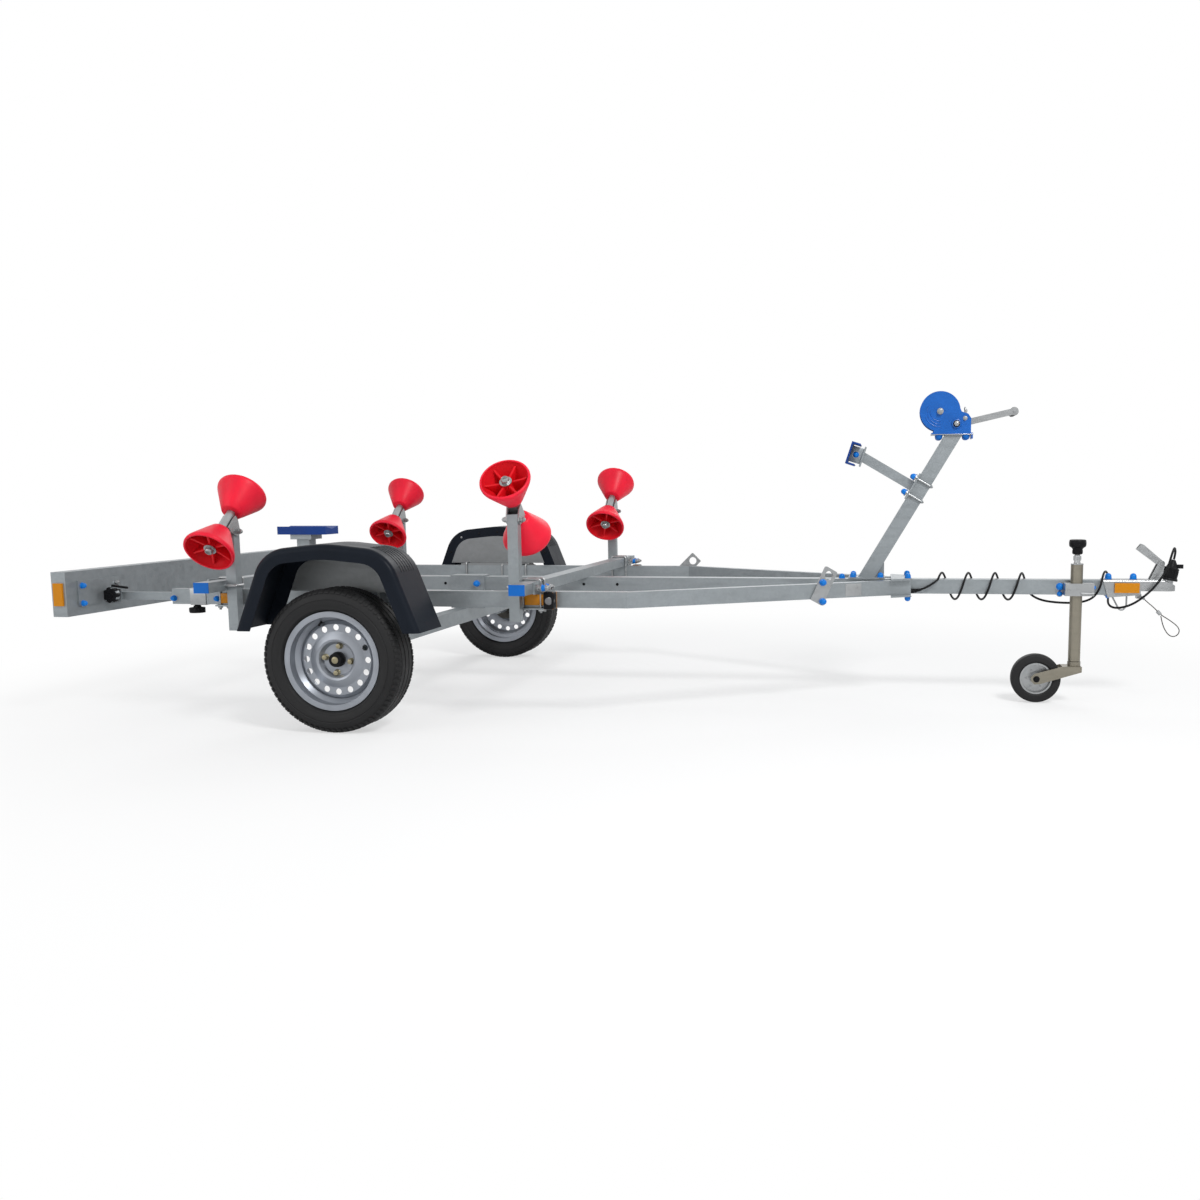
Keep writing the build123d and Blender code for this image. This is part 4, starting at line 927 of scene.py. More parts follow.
@dataclass
class Studio:
    """The camera, the pale floor and the soft lamps."""

    camera_at: Point = (0.9431, -4.8327, 0.8760)
    forward: Point = (-0.15129, 0.98109, -0.12070)
    right: Point = (0.98841, 0.15169, -0.00596)
    up: Point = (-0.01247, 0.12021, 0.99267)
    lens: float = 34.07
    shift: tuple[float, float] = (-0.0884, 0.023)
    sky_colour: Colour = (0.96, 0.98, 1.0)
    sky: float = 0.48
    # name, place, what it looks at, size, watts
    lamps: tuple[tuple[str, Point, Point, float, float], ...] = (
        ("key", (3.2, -4.2, 5.0), (0.0, 0.0, 0.4), 1.4, 260.0),
        ("fill", (-4.0, -4.2, 2.2), (-0.3, 0.0, 0.4), 3.0, 45.0),
        ("back", (0.5, 4.5, 4.0), (0.0, 0.0, 0.5), 3.0, 70.0),
    )
    floor_half: float = 30.0
    floor_grey: float = 0.93
    # distances in metres between which the floor fades, and how much of it is white at each
    fade: tuple[float, float] = (1.4, 3.6)
    faded: tuple[float, float] = (0.55, 1.0)

    def build(self) -> None:
        """Sets up the camera, the world, the lamps and the floor."""
        bpy.context.scene.view_settings.view_transform = "Standard"
        self.build_camera()
        self.build_world()
        self.build_lamps()
        self.build_floor()

    def build_camera(self) -> None:
        """Makes the camera from its measured directions."""
        data = bpy.data.cameras.new("camera")
        data.lens = self.lens
        data.sensor_width = 36.0
        data.shift_x, data.shift_y = self.shift
        data.clip_start, data.clip_end = 0.05, 60.0
        camera = bpy.data.objects.new("camera", data)
        turn = Matrix((Vector(self.right), Vector(self.up), -Vector(self.forward))).transposed()
        camera.matrix_world = Matrix.Translation(self.camera_at) @ turn.to_4x4()
        bpy.context.scene.collection.objects.link(camera)
        bpy.context.scene.camera = camera

    @staticmethod
    def mixed(
        tree: bpy.types.NodeTree, share: bpy.types.NodeSocket, first: bpy.types.Node, second: bpy.types.Node
    ) -> bpy.types.Node:
        """Two shaders mixed.

        Args:
            tree: the nodes to add to.
            share: how much of the second.
            first: the first shader.
            second: the second shader.

        Returns:
            The node that mixes them.
        """
        made = tree.nodes.new("ShaderNodeMixShader")
        for source, target in zip((share, first.outputs[0], second.outputs[0]), made.inputs):
            tree.links.new(source, target)
        return made

    def build_world(self) -> None:
        """A soft even sky, plain white to the camera and in reflections."""
        world = bpy.data.worlds.new("studio")
        bpy.context.scene.world = world
        world.use_nodes = True
        tree = world.node_tree
        tree.nodes.clear()
        path = tree.nodes.new("ShaderNodeLightPath")
        seen = path.outputs["Is Camera Ray"]
        for ray in ("Is Glossy Ray", "Is Transmission Ray"):
            either = tree.nodes.new("ShaderNodeMath")
            either.operation = "MAXIMUM"
            tree.links.new(seen, either.inputs[0])
            tree.links.new(path.outputs[ray], either.inputs[1])
            seen = either.outputs[0]
        skies = []
        for colour, strength in ((self.sky_colour, self.sky), ((1, 1, 1), 1.0)):
            sky = tree.nodes.new("ShaderNodeBackground")
            sky.inputs["Color"].default_value = (*colour, 1)
            sky.inputs["Strength"].default_value = strength
            skies.append(sky)
        out = tree.nodes.new("ShaderNodeOutputWorld")
        tree.links.new(self.mixed(tree, seen, *skies).outputs[0], out.inputs["Surface"])

    def build_lamps(self) -> None:
        """Makes the area lamps."""
        for name, place, target, size, watts in self.lamps:
            data = bpy.data.lights.new(name, "AREA")
            data.energy, data.size = watts, size
            lamp = bpy.data.objects.new(name, data)
            lamp.location = place
            lamp.rotation_euler = (Vector(target) - Vector(place)).to_track_quat("-Z", "Y").to_euler()
            bpy.context.scene.collection.objects.link(lamp)

    def build_floor(self) -> None:
        """A wide pale floor."""
        bm = bmesh.new()
        bmesh.ops.create_grid(bm, x_segments=8, y_segments=8, size=self.floor_half)
        mesh = bpy.data.meshes.new("floor")
        bm.to_mesh(mesh)
        bm.free()
        mesh.materials.append(self.floor_material())
        floor = bpy.data.objects.new("floor", mesh)
        floor.location = (0, 0, -0.001)
        bpy.context.scene.collection.objects.link(floor)

    def floor_material(self) -> bpy.types.Material:
        """A matt pale grey that fades, to the camera, to the white around it.

        Returns:
            The floor's material.
        """
        shader = Shader("pale_floor")
        tree, matt = shader.tree, shader.bsdf
        grey = self.floor_grey
        shader.set(Base_Color=(grey, grey, grey, 1), Roughness=0.9, Specular_IOR_Level=0.1)
        white = shader.node("ShaderNodeEmission")
        path = shader.node("ShaderNodeLightPath")
        far = shader.node("ShaderNodeVectorMath", operation="LENGTH")
        shader.join(shader.coords, far.inputs[0])
        fade = shader.node("ShaderNodeMapRange", interpolation_type="SMOOTHSTEP")
        for key, number in zip(("From Min", "From Max", "To Min", "To Max"), self.fade + self.faded):
            fade.inputs[key].default_value = number
        shader.join(far.outputs["Value"], fade.inputs["Value"])
        faded = self.mixed(tree, fade.outputs["Result"], matt, white)
        seen = self.mixed(tree, path.outputs["Is Camera Ray"], matt, faded)
        shader.join(seen.outputs[0], tree.nodes["Material Output"].inputs["Surface"])
        return shader.material


# ------------------------------------------------------------------ cords


def from_nose(points: Iterable[Point]) -> list[Point]:
    """Moves points to the trailer's frame.

    Args:
        points: places in metres, with X from the trailer's foremost point.

    Returns:
        The same places with X from the middle.
    """
    return [(NOSE_X * Bench.metres + x, y, z) for x, y, z in points]


@dataclass
class Cords:
    """The lighting cable round the drawbar and the breakaway wire under the coupling."""

    cable_diameter: float = 0.009
    cable_length: float = 2.49
    wire_diameter: float = 0.004
    wire_length: float = 0.354
    wind_start: float = -0.975
    wind_step: float = 0.009
    wind_radius: float = 0.057
    wind_points: int = 43
    cable_start: tuple[Point, ...] = (
        (-1.070, -0.056, 0.453), (-1.035, -0.057, 0.460), (-1.001, -0.054, 0.480),
    )
    cable_rest: tuple[Point, ...] = (
        (-0.575, 0.033, 0.422), (-0.538, 0.015, 0.409), (-0.485, 0.0, 0.404), (-0.433, -0.013, 0.404),
        (-0.387, -0.031, 0.411), (-0.355, -0.052, 0.429), (-0.337, -0.063, 0.458),
        (-0.326, -0.060, 0.489), (-0.318, -0.041, 0.517), (-0.307, -0.012, 0.533), (-0.294, 0.020, 0.533),
        (-0.282, 0.047, 0.517), (-0.274, 0.062, 0.490), (-0.272, 0.063, 0.459), (-0.276, 0.052, 0.428),
        (-0.282, 0.028, 0.407), (-0.282, 0.0, 0.395), (-0.270, -0.028, 0.387), (-0.242, -0.050, 0.390),
        (-0.205, -0.060, 0.404), (-0.167, -0.062, 0.430), (-0.127, -0.063, 0.468),
        (-0.095, -0.063, 0.513), (-0.072, -0.063, 0.556), (-0.061, -0.064, 0.604),
        (-0.052, -0.052, 0.624), (-0.044, -0.033, 0.632), (-0.036, -0.013, 0.627), (-0.031, 0.0, 0.608),
        (-0.0363, 0.0, 0.5831),
    )
    wire_points: tuple[Point, ...] = (
        (-0.1635, -0.020, 0.436), (-0.135, -0.024, 0.409), (-0.111, -0.030, 0.389),
        (-0.086, -0.032, 0.361), (-0.047, -0.030, 0.338), (-0.0115, -0.029, 0.309),
        (-0.0104, -0.029, 0.285), (-0.0295, -0.030, 0.2704), (-0.0524, -0.031, 0.2776),
        (-0.071, -0.033, 0.306), (-0.082, -0.036, 0.337), (-0.086, -0.038, 0.357),
    )

    def cable_points(self) -> list[Point]:
        """The cable's route: out of the gland, four turns round the drawbar, up to the plug.

        Returns:
            The route's points in metres.
        """
        winding = []
        for step in range(self.wind_points):
            turn = math.radians(30 + 30 * step)
            across, up = -self.wind_radius * math.cos(turn), self.wind_radius * math.sin(turn)
            winding.append((self.wind_start + step * self.wind_step, across, FRAME_Z * Bench.metres + up))
        return from_nose([*self.cable_start, *winding, *self.cable_rest])

    def lay(self, name: str, points: Sequence[Point], diameter: float, finish: Finish) -> bpy.types.Object:
        """Makes one cord as a smooth curve.

        Args:
            name: the cord's name.
            points: its control points in metres.
            diameter: its diameter in metres.
            finish: its finish.

        Returns:
            The cord's object.
        """
        curve = bpy.data.curves.new(name, "CURVE")
        curve.dimensions = "3D"
        curve.bevel_depth = diameter / 2
        curve.bevel_resolution = 3
        curve.resolution_u = 6
        curve.use_fill_caps = True
        spline = curve.splines.new("NURBS")
        spline.points.add(len(points) - 1)
        for control, point in zip(spline.points, points):
            control.co = (*point, 1.0)
        spline.order_u = 3
        spline.use_endpoint_u = True
        curve.materials.append(finish.material())
        cord = bpy.data.objects.new(name, curve)
        bpy.context.scene.collection.objects.link(cord)
        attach(cord, "frame")
        Bench.made.append(name)
        return cord

    def build(self) -> None:
        """Lays both cords and their fittings."""
        Bench.dress(PLATED, "wire_ferrules")
        Bench.dress(BLACK, "cable_plug")
        points = self.cable_points()
        cable = self.lay("lighting_cable", points, self.cable_diameter, CABLE)
        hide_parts("cable")
        self.strain_relief(points)
        points = from_nose(self.wire_points)
        wire = self.lay("safety_wire", points, self.wire_diameter, DARK_STEEL)
        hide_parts("breakaway_wire")

    def strain_relief(self, points: Sequence[Point]) -> bpy.types.Object:
        """A tapered sleeve where the cable leaves its gland.

        Args:
            points: the cable's points in metres.

        Returns:
            The sleeve's object.
        """
        start, onward = (Vector(point) / Bench.metres for point in points[:2])
        rings = [(-1, 4.6), (-1, 9.0), (3, 9.0)]
        for k in range(5):
            foot, outer = 4 + 5 * k, 8.0 - 0.6 * k
            inner = outer - 1.2
            rings += [(foot, outer), (foot + 2.5, outer), (foot + 3.2, inner), (foot + 4.4, inner)]
        rings += [(30, 5.0), (30, 4.6), (-1, 4.6)]
        sleeve = Shape((turned(rings, 20), seat(start, LEFT, onward - start)))
        return Bench.put("cable_sleeve", sleeve, "frame", BLACK)


# ------------------------------------------------------------------ road wheels and mudguards


@dataclass
class RoadWheel:
    """A road wheel: a treaded tyre, bolts, cap and valve on the pressed rim."""

    side: Side
    radius: float = 265.0
    wall: Outline = (
        (56, 165), (56, 183), (60, 185.5), (66, 187), (69.4, 190), (70.8, 190.8), (72.4, 194), (72.2, 195.6),
        (74.6, 202), (77.3, 214), (77.5, 221), (75.9, 222.5), (75.8, 225), (77.3, 227), (76.4, 233),
        (73.5, 243), (70.5, 248), (69.4, 249.6), (67.5, 254), (63.5, 258.5), (58.5, 261.2), (54, 262.4),
    )
    # each tread groove's place from the middle and its width
    grooves: Outline = ((44.0, 5.0), (16.0, 6.0))
    groove_depth: float = 7.0
    groove_draft: float = 0.6
    crown_drop: float = 0.6
    crown_slope: float = 0.03
    lugs: int = 72
    lug: Outline = (
        (-8.2, 49), (8.2, 49), (8.2, 60), (7.4, 68), (6.2, 73), (-6.2, 73), (-7.4, 68), (-8.2, 60),
    )
    lug_foot: float = 49.0
    lug_thick: float = 4.0
    lug_sunk: float = 2.9
    lug_skew: float = 0.042
    lug_inside: float = 1.2
    shoulder_from: float = 54.0
    shoulder_fall: float = 0.035
    bolts: int = 4
    bolt_ring: float = 50.0
    bolt_turn: float = -8.0
    bolt_foot: float = 5.0
    cap_ring: Outline = (
        (9, 24.2), (9, 28), (15, 28), (17, 26.4), (32, 25.4), (34.8, 23.6), (35.2, 20), (34.4, 13),
        (33.6, 12.4), (33.6, 24.2), (9, 24.2),
    )
    cap_face: Outline = ((33.9, 0), (33.9, 13), (36.2, 12.4), (37.6, 9), (37.8, 5), (36.6, 4.4), (36.6, 0))
    valve: Outline = (
        (-14, 0), (-14, 6), (2, 6.6), (5, 4.6), (22, 4), (24, 4.6), (33, 4.6), (34, 3.6), (34, 0),
    )
    valve_ring: float = 152.0
    valve_turn: float = 23.0
    valve_lean: float = -22.0
    valve_foot: float = 4.0

    @property
    def body(self) -> str:
        """The wheel's body."""
        return f"wheel_{self.side.word}"

    def hub(self) -> Matrix:
        """The wheel's middle with local Z outboard and local Y up."""
        return outward(AXLE_X, self.side.value * WHEEL_Y, WHEEL_Z, self.side)

    def build(self) -> None:
        """Dresses the rim and adds the tyre and the small parts."""
        Bench.dress(WHEEL_PAINT, f"wheel_rim_{self.side.word}")
        Bench.dress(DARK_STEEL, f"wheel_hub_{self.side.word}")
        self.build_tyre()
        self.build_tread()
        self.build_bolts()
        self.build_cap()

    def build_tyre(self) -> None:
        """The tyre: a spun wall with rounded shoulders and a grooved tread."""
        half = list(self.wall)
        floor = self.radius - self.groove_depth
        for centre, wide in self.grooves:
            top = self.radius - self.crown_drop - centre * self.crown_slope
            near, away, draft = centre - wide / 2, centre + wide / 2, self.groove_draft
            half += [(away, top), (away - draft, floor), (near + draft, floor), (near, top)]
        tyre = Shape((turned(mirrored(half), 144), self.hub()))
        node = f"tyre_{self.side.word}"
        Bench.put(f"road_{node}", tyre, self.body, TYRE, [node], crease=30.0)

    def shoulder_lug(self, way: int) -> bmesh.types.BMesh:
        """One block of the tread's edge, bent over the tyre's shoulder.

        Args:
            way: 1 for the outboard edge, -1 for the inboard one.

        Returns:
            The shape, on local XY with local Z outwards.
        """
        lug = plate(self.lug, self.lug_thick, 1.0)
        bmesh.ops.translate(lug, vec=(0, 0, -self.lug_sunk), verts=lug.verts)
        for vert in lug.verts:
            over = max(0.0, vert.co.y - self.shoulder_from)
            vert.co.z -= over * over * self.shoulder_fall
            vert.co.x += (vert.co.y - self.lug_foot) * way * self.lug_skew
        if way < 0:
            bmesh.ops.rotate(lug, cent=(0, 0, 0), matrix=Matrix.Rotation(math.pi, 3, "Z"), verts=lug.verts)
        return lug

    def build_tread(self) -> None:
        """Shoulder blocks with gaps between them, round both edges of the tread."""
        blocks = Shape()
        crown = seat((self.radius - self.lug_inside, 0, 0), LEFT, FORWARD)
        for turn in turns(self.lugs):
            for way in (-1, 1):
                blocks.add(self.shoulder_lug(way), self.hub() @ turn @ crown)
        Bench.put(f"tyre_shoulders_{self.side.word}", blocks, self.body, TYRE, crease=30.0)

    def build_bolts(self) -> None:
        """The wheel bolts on their cones."""
        bolts = Shape()
        for turn in turns(self.bolts, math.radians(self.bolt_turn)):
            spot = self.hub() @ Matrix.Translation(turn @ Vector((self.bolt_ring, 0, self.bolt_foot)))
            bolts.add(turned([(0, 0), (0, 12.5), (4, 9.5), (4, 0)], 20), spot)
            bolts.add(prism(6, 9.8, 13, 1.4), shifted(spot, z=3))
        Bench.put(f"wheel_bolts_{self.side.word}", bolts, self.body, BRASSY)

    def build_cap(self) -> None:
        """The cap in the middle, in two parts, and the valve."""
        word, hub = self.side.word, self.hub()
        Bench.put(f"cap_ring_{word}", Shape((turned(self.cap_ring, 40), hub)), self.body, BLACK)
        Bench.put(f"cap_face_{word}", Shape((turned(self.cap_face, 32), hub)), self.body, BRASSY)
        turn = Matrix.Rotation(math.radians(90 - self.side.value * self.valve_turn), 4, "Z")
        spot = hub @ Matrix.Translation(turn @ Vector((self.valve_ring, 0, self.valve_foot)))
        lean = spot @ turn @ Matrix.Rotation(math.radians(self.valve_lean), 4, "Y")
        Bench.put(f"tyre_valve_{word}", Shape((turned(self.valve, 16), lean)), self.body, BLACK)


def share_of(line: Outline, share: float) -> tuple[float, float]:
    """The point that lies a share of the way along a line.

    Args:
        line: the line's points.
        share: from 0 at its start to 1 at its end.

    Returns:
        The point.
    """
    runs = [math.dist(a, b) for a, b in zip(line, line[1:])]
    left = share * sum(runs)
    for a, b, run in zip(line, line[1:], runs):
        if left <= run:
            return tuple(Vector(a).lerp(Vector(b), left / run))
        left -= run
    return line[-1]


def rounded(points: Outline, radii: Sequence[float], steps: int = 8) -> list[tuple[float, float]]:
    """A line with its inner corners rounded.

    Args:
        points: the corners.
        radii: one radius for each inner corner.
        steps: flats in each round.

    Returns:
        The rounded line's points.
    """
    line = [points[0]]
    for before, here, after, radius in zip(points, points[1:], points[2:], radii):
        corner = Vector(here)
        a, b = ((Vector(other) - corner).normalized() for other in (before, after))
        half = a.angle(b) / 2
        middle = corner + (a + b).normalized() * (radius / math.sin(half))
        reach = radius / math.tan(half)
        start, end = (corner + way * reach - middle for way in (a, b))
        line += [tuple(middle + start.slerp(end, k / steps) * radius) for k in range(steps + 1)]
    return line + [points[-1]]


@dataclass
class Mudguard:
    """A mudguard's finish, shoulder ribs and rivets, over its outline from the axle."""

    side: Side
    inner_y: float = 832.0
    half_foot: float = 352.0
    foot_z: float = 375.0
    shoulder_x: float = 238.0
    shoulder_z: float = 668.0
    top_z: float = 694.0
    radii: tuple[float, float, float] = (140.0, 500.0, 140.0)
    ribs: int = 6
    rib_first: float = 36.0
    rib_pitch: float = 22.0
    rib_thick: float = 2.4
    rib_proud: float = 1.4
    rib_reach: tuple[float, float] = (150.0, 340.0)
    rivets: int = 9
    rivet_inset: float = 27.0
    bright_rivet: int = 2

    def build(self) -> None:
        """Dresses the guard and adds its small parts."""
        Bench.dress(GUARD, f"mudguard_{self.side.word}")
        self.build_ribs()
        self.build_rivets()

    def line(self, inset: float) -> list[tuple[float, float]]:
        """The guard's rounded outline, moved in from its outer face.

        Args:
            inset: how far in; below 0 it lies outside.

        Returns:
            Places from the axle, each with its height, from the rear foot to the front one.
        """
        lean = math.atan2(self.half_foot - self.shoulder_x, self.shoulder_z - self.foot_z)
        crown = math.atan2(self.top_z - self.shoulder_z, self.shoulder_x)
        apex = self.top_z - inset / math.cos(crown)
        foot = self.half_foot - inset / math.cos(lean)
        shoulder = (foot - (apex - self.foot_z) * math.tan(lean)) / (1 - math.tan(lean) * math.tan(crown))
        top = apex - shoulder * math.tan(crown)
        corners = [(-foot, self.foot_z), (-shoulder, top), (0.0, apex), (shoulder, top), (foot, self.foot_z)]
        return rounded(corners, [radius - inset for radius in self.radii])

    def build_ribs(self) -> None:
        """Fine ribs over the front shoulder, along the guard."""
        shape = Shape()
        near, far = self.rib_reach
        line = [(x, z) for x, z in self.line(-self.rib_proud) if near < x < far]
        for k in range(self.ribs):
            y = self.side.value * (self.inner_y + self.rib_first + self.rib_pitch * k)
            part = bmesh.new()
            rails = []
            for over in (-self.rib_thick, self.rib_thick):
                verts = [part.verts.new((AXLE_X + x, y + over, z)) for x, z in line]
                rails += [part.edges.new(pair) for pair in zip(verts, verts[1:])]
            bmesh.ops.bridge_loops(part, edges=rails)
            bmesh.ops.solidify(part, geom=part.faces[:], thickness=self.rib_thick)
            bmesh.ops.recalc_face_normals(part, faces=part.faces)
            shape.add(part)
        Bench.put(f"guard_ribs_{self.side.word}", shape, "frame", BLACK)

    def build_rivets(self) -> None:
        """Rivets through the band and the plate: dark ones, and one in bright plated steel at the rear
        shoulder as a painted glint.
        """
        dark, bright = Shape(), Shape()
        y = self.side.value * (self.inner_y - 0.2)
        for k in range(self.rivets):
            x, z = share_of(self.line(self.rivet_inset), (k + 1) / (self.rivets + 1))
            rivet = turned([(-2, 0), (-2, 6), (1, 5.5), (3, 3.5), (3.6, 0)], 14)
            # one rivet in bright plated steel is a painted glint; the rest are dark
            (bright if k == self.bright_rivet else dark).add(rivet, aside(AXLE_X + x, y, z, -self.side.value))
        Bench.put(f"guard_rivets_{self.side.word}", dark, "frame", BLACK)
        Bench.put(f"guard_bright_rivet_{self.side.word}", bright, "frame", PLATED)


# ------------------------------------------------------------------ rollers


@dataclass
class RollerHead:
    """A rocking head with its two cone rollers."""

    end: End
    side: Side
    up: int
    tilt: float = 41.0
    shaft_rise: float = 51.0
    start: float = 49.0
    length: float = 120.0
    small: float = 37.0
    large: float = 94.0
    ribs: int = 6
    rib_turn: float = 0.26
    rib_thick: float = 8.0
    nut_from_start: float = 102.6
    flank: float = 33.6

    @property
    def name(self) -> str:
        """The head's name."""
        return f"{self.end.word}_{self.side.word}"

    def shaft(self) -> tuple[Vector, Vector, Vector]:
        """Where the rollers' shaft lies at rest.

        Returns:
            The shaft's middle, its direction outboard, and the way to it from the pivot.
        """
        tilt = math.radians(self.up * self.tilt)
        sign = self.side.value
        along = Vector((0, sign * math.cos(tilt), math.sin(tilt)))
        away = Vector((sign, 0, 0)).cross(along)
        pivot = Vector((self.end.post_x, sign * POST_Y, self.end.value[1]))
        return pivot + away * self.shaft_rise, along, away

    def build(self) -> None:
        """Dresses the head and makes both rollers."""
        Bench.dress(PLATED, f"roller_head_{self.name}")
        middle, along, away = self.shaft()
        for word, way in (("outer", 1), ("inner", -1)):
            place = seat(middle, FORWARD, along * way)
            body = f"cone_{self.name}_{word}"
            roller = Shape((turned(self.outside() + self.inside()[1:] + self.outside()[:1], 64), place))
            Bench.put(f"roller_{self.name}_{word}", roller, body, RED, [body], crease=40.0)
            # a darker red skin over the inside of each roller paints the shade in its hollow
            Bench.put(f"roller_inside_{self.name}_{word}", self.shade_lining(place), body, RED_SHADE, crease=35.0)
        self.build_nuts(middle, along, away)

    def outside(self) -> list[tuple[float, float]]:
        """The outer profile of a roller.

        Returns:
            Places along the shaft, each with its radius, from the small end to the wide end's rim.
        """
        s, far, large, small = self.start, self.start + self.length, self.large, self.small
        rise = (large - small) / (self.length - 14)
        return [
            (s, 10.6), (s, small - 4), (s + 1.2, small - 1.2), (s + 4, small + 1.6),
            *((s + along, small + along * rise) for along in (30, 60, 90)), (far - 20, large - 3.4),
            (far - 13, large - 0.6), (far - 7, large), (far - 2.4, large - 1.2), (far - 0.3, large - 4.0),
            (far, large - 6.5), (far - 1.2, large - 8.6),
        ]

    def inside(self) -> list[tuple[float, float]]:
        """The inner profile of a roller.

        Returns:
            Places along the shaft, each with its radius, from the rim to the end of the hub.
        """
        s, far, large = self.start, self.start + self.length, self.large
        return [
            (far - 1.2, large - 8.6), (far - 13, large - 10.5), (s + 60, 52.0), (s + 16, 25.0),
            (s + 16, 24.0), (s + 100, 18.5), (s + 102, 17.0), (s + 102, 10.6),
        ]

    def shade_lining(self, place: Matrix) -> Shape:
        """The darker red skin inside a roller, and its ribs: painted shade in the roller's hollow.

        Args:
            place: the shaft's middle, with local Z towards the wide end.

        Returns:
            The shape.
        """
        wall, hub, s = self.inside()[:4], self.inside()[4:7], self.start
        skin = [(along, radius - 0.7) for along, radius in wall]
        skin += [(along, radius + 0.5) for along, radius in hub]
        back = [(along, radius - 1.2) for along, radius in wall]
        back += [(along, radius + 1.0) for along, radius in hub]
        shade_lining = Shape((turned(skin + back[::-1] + skin[:1], 64), place))
        rib = [(17.4, s + 28), (32.0, s + 30), (76.0, s + 99), (78.0, s + 104), (66, s + 101), (17.4, s + 97)]
        middle = aside(0, self.rib_thick / 2, 0, -1)
        for turn in turns(self.ribs, self.rib_turn):
            shade_lining.add(plate(rib, self.rib_thick, 1.2), place @ turn @ middle)
        return shade_lining

    def build_nuts(self, middle: Vector, along: Vector, away: Vector) -> None:
        """Washers and nuts at the shaft's ends, and the pivot bolt's.

        Args:
            middle: the shaft's middle.
            along: the shaft's direction.
            away: the way from the pivot to the shaft.
        """
        kit = Hardware(f"head_{self.name}", f"head_{self.name}")
        pivot = middle - away * self.shaft_rise
        for way in (-1, 1):
            tip = seat(middle + along * way * (self.start + self.nut_from_start), FORWARD, along * way)
            kit.steel.add(turned([(0, 10.2), (0, 23), (2.4, 23), (2.4, 10.2), (0, 10.2)], 24), tip)
            nut = [(12, 6), (12, 15.5), (15.5, 14.5), (18, 12), (18, 10), (15, 10), (15, 6)]
            kit.steel.add(turned(nut, 24), tip)
            kit.nut(lengthways(pivot.x + way * self.flank, pivot.y, pivot.z, way), 8.0, 2.0)
        kit.finish()


# ------------------------------------------------------------------ frame fittings


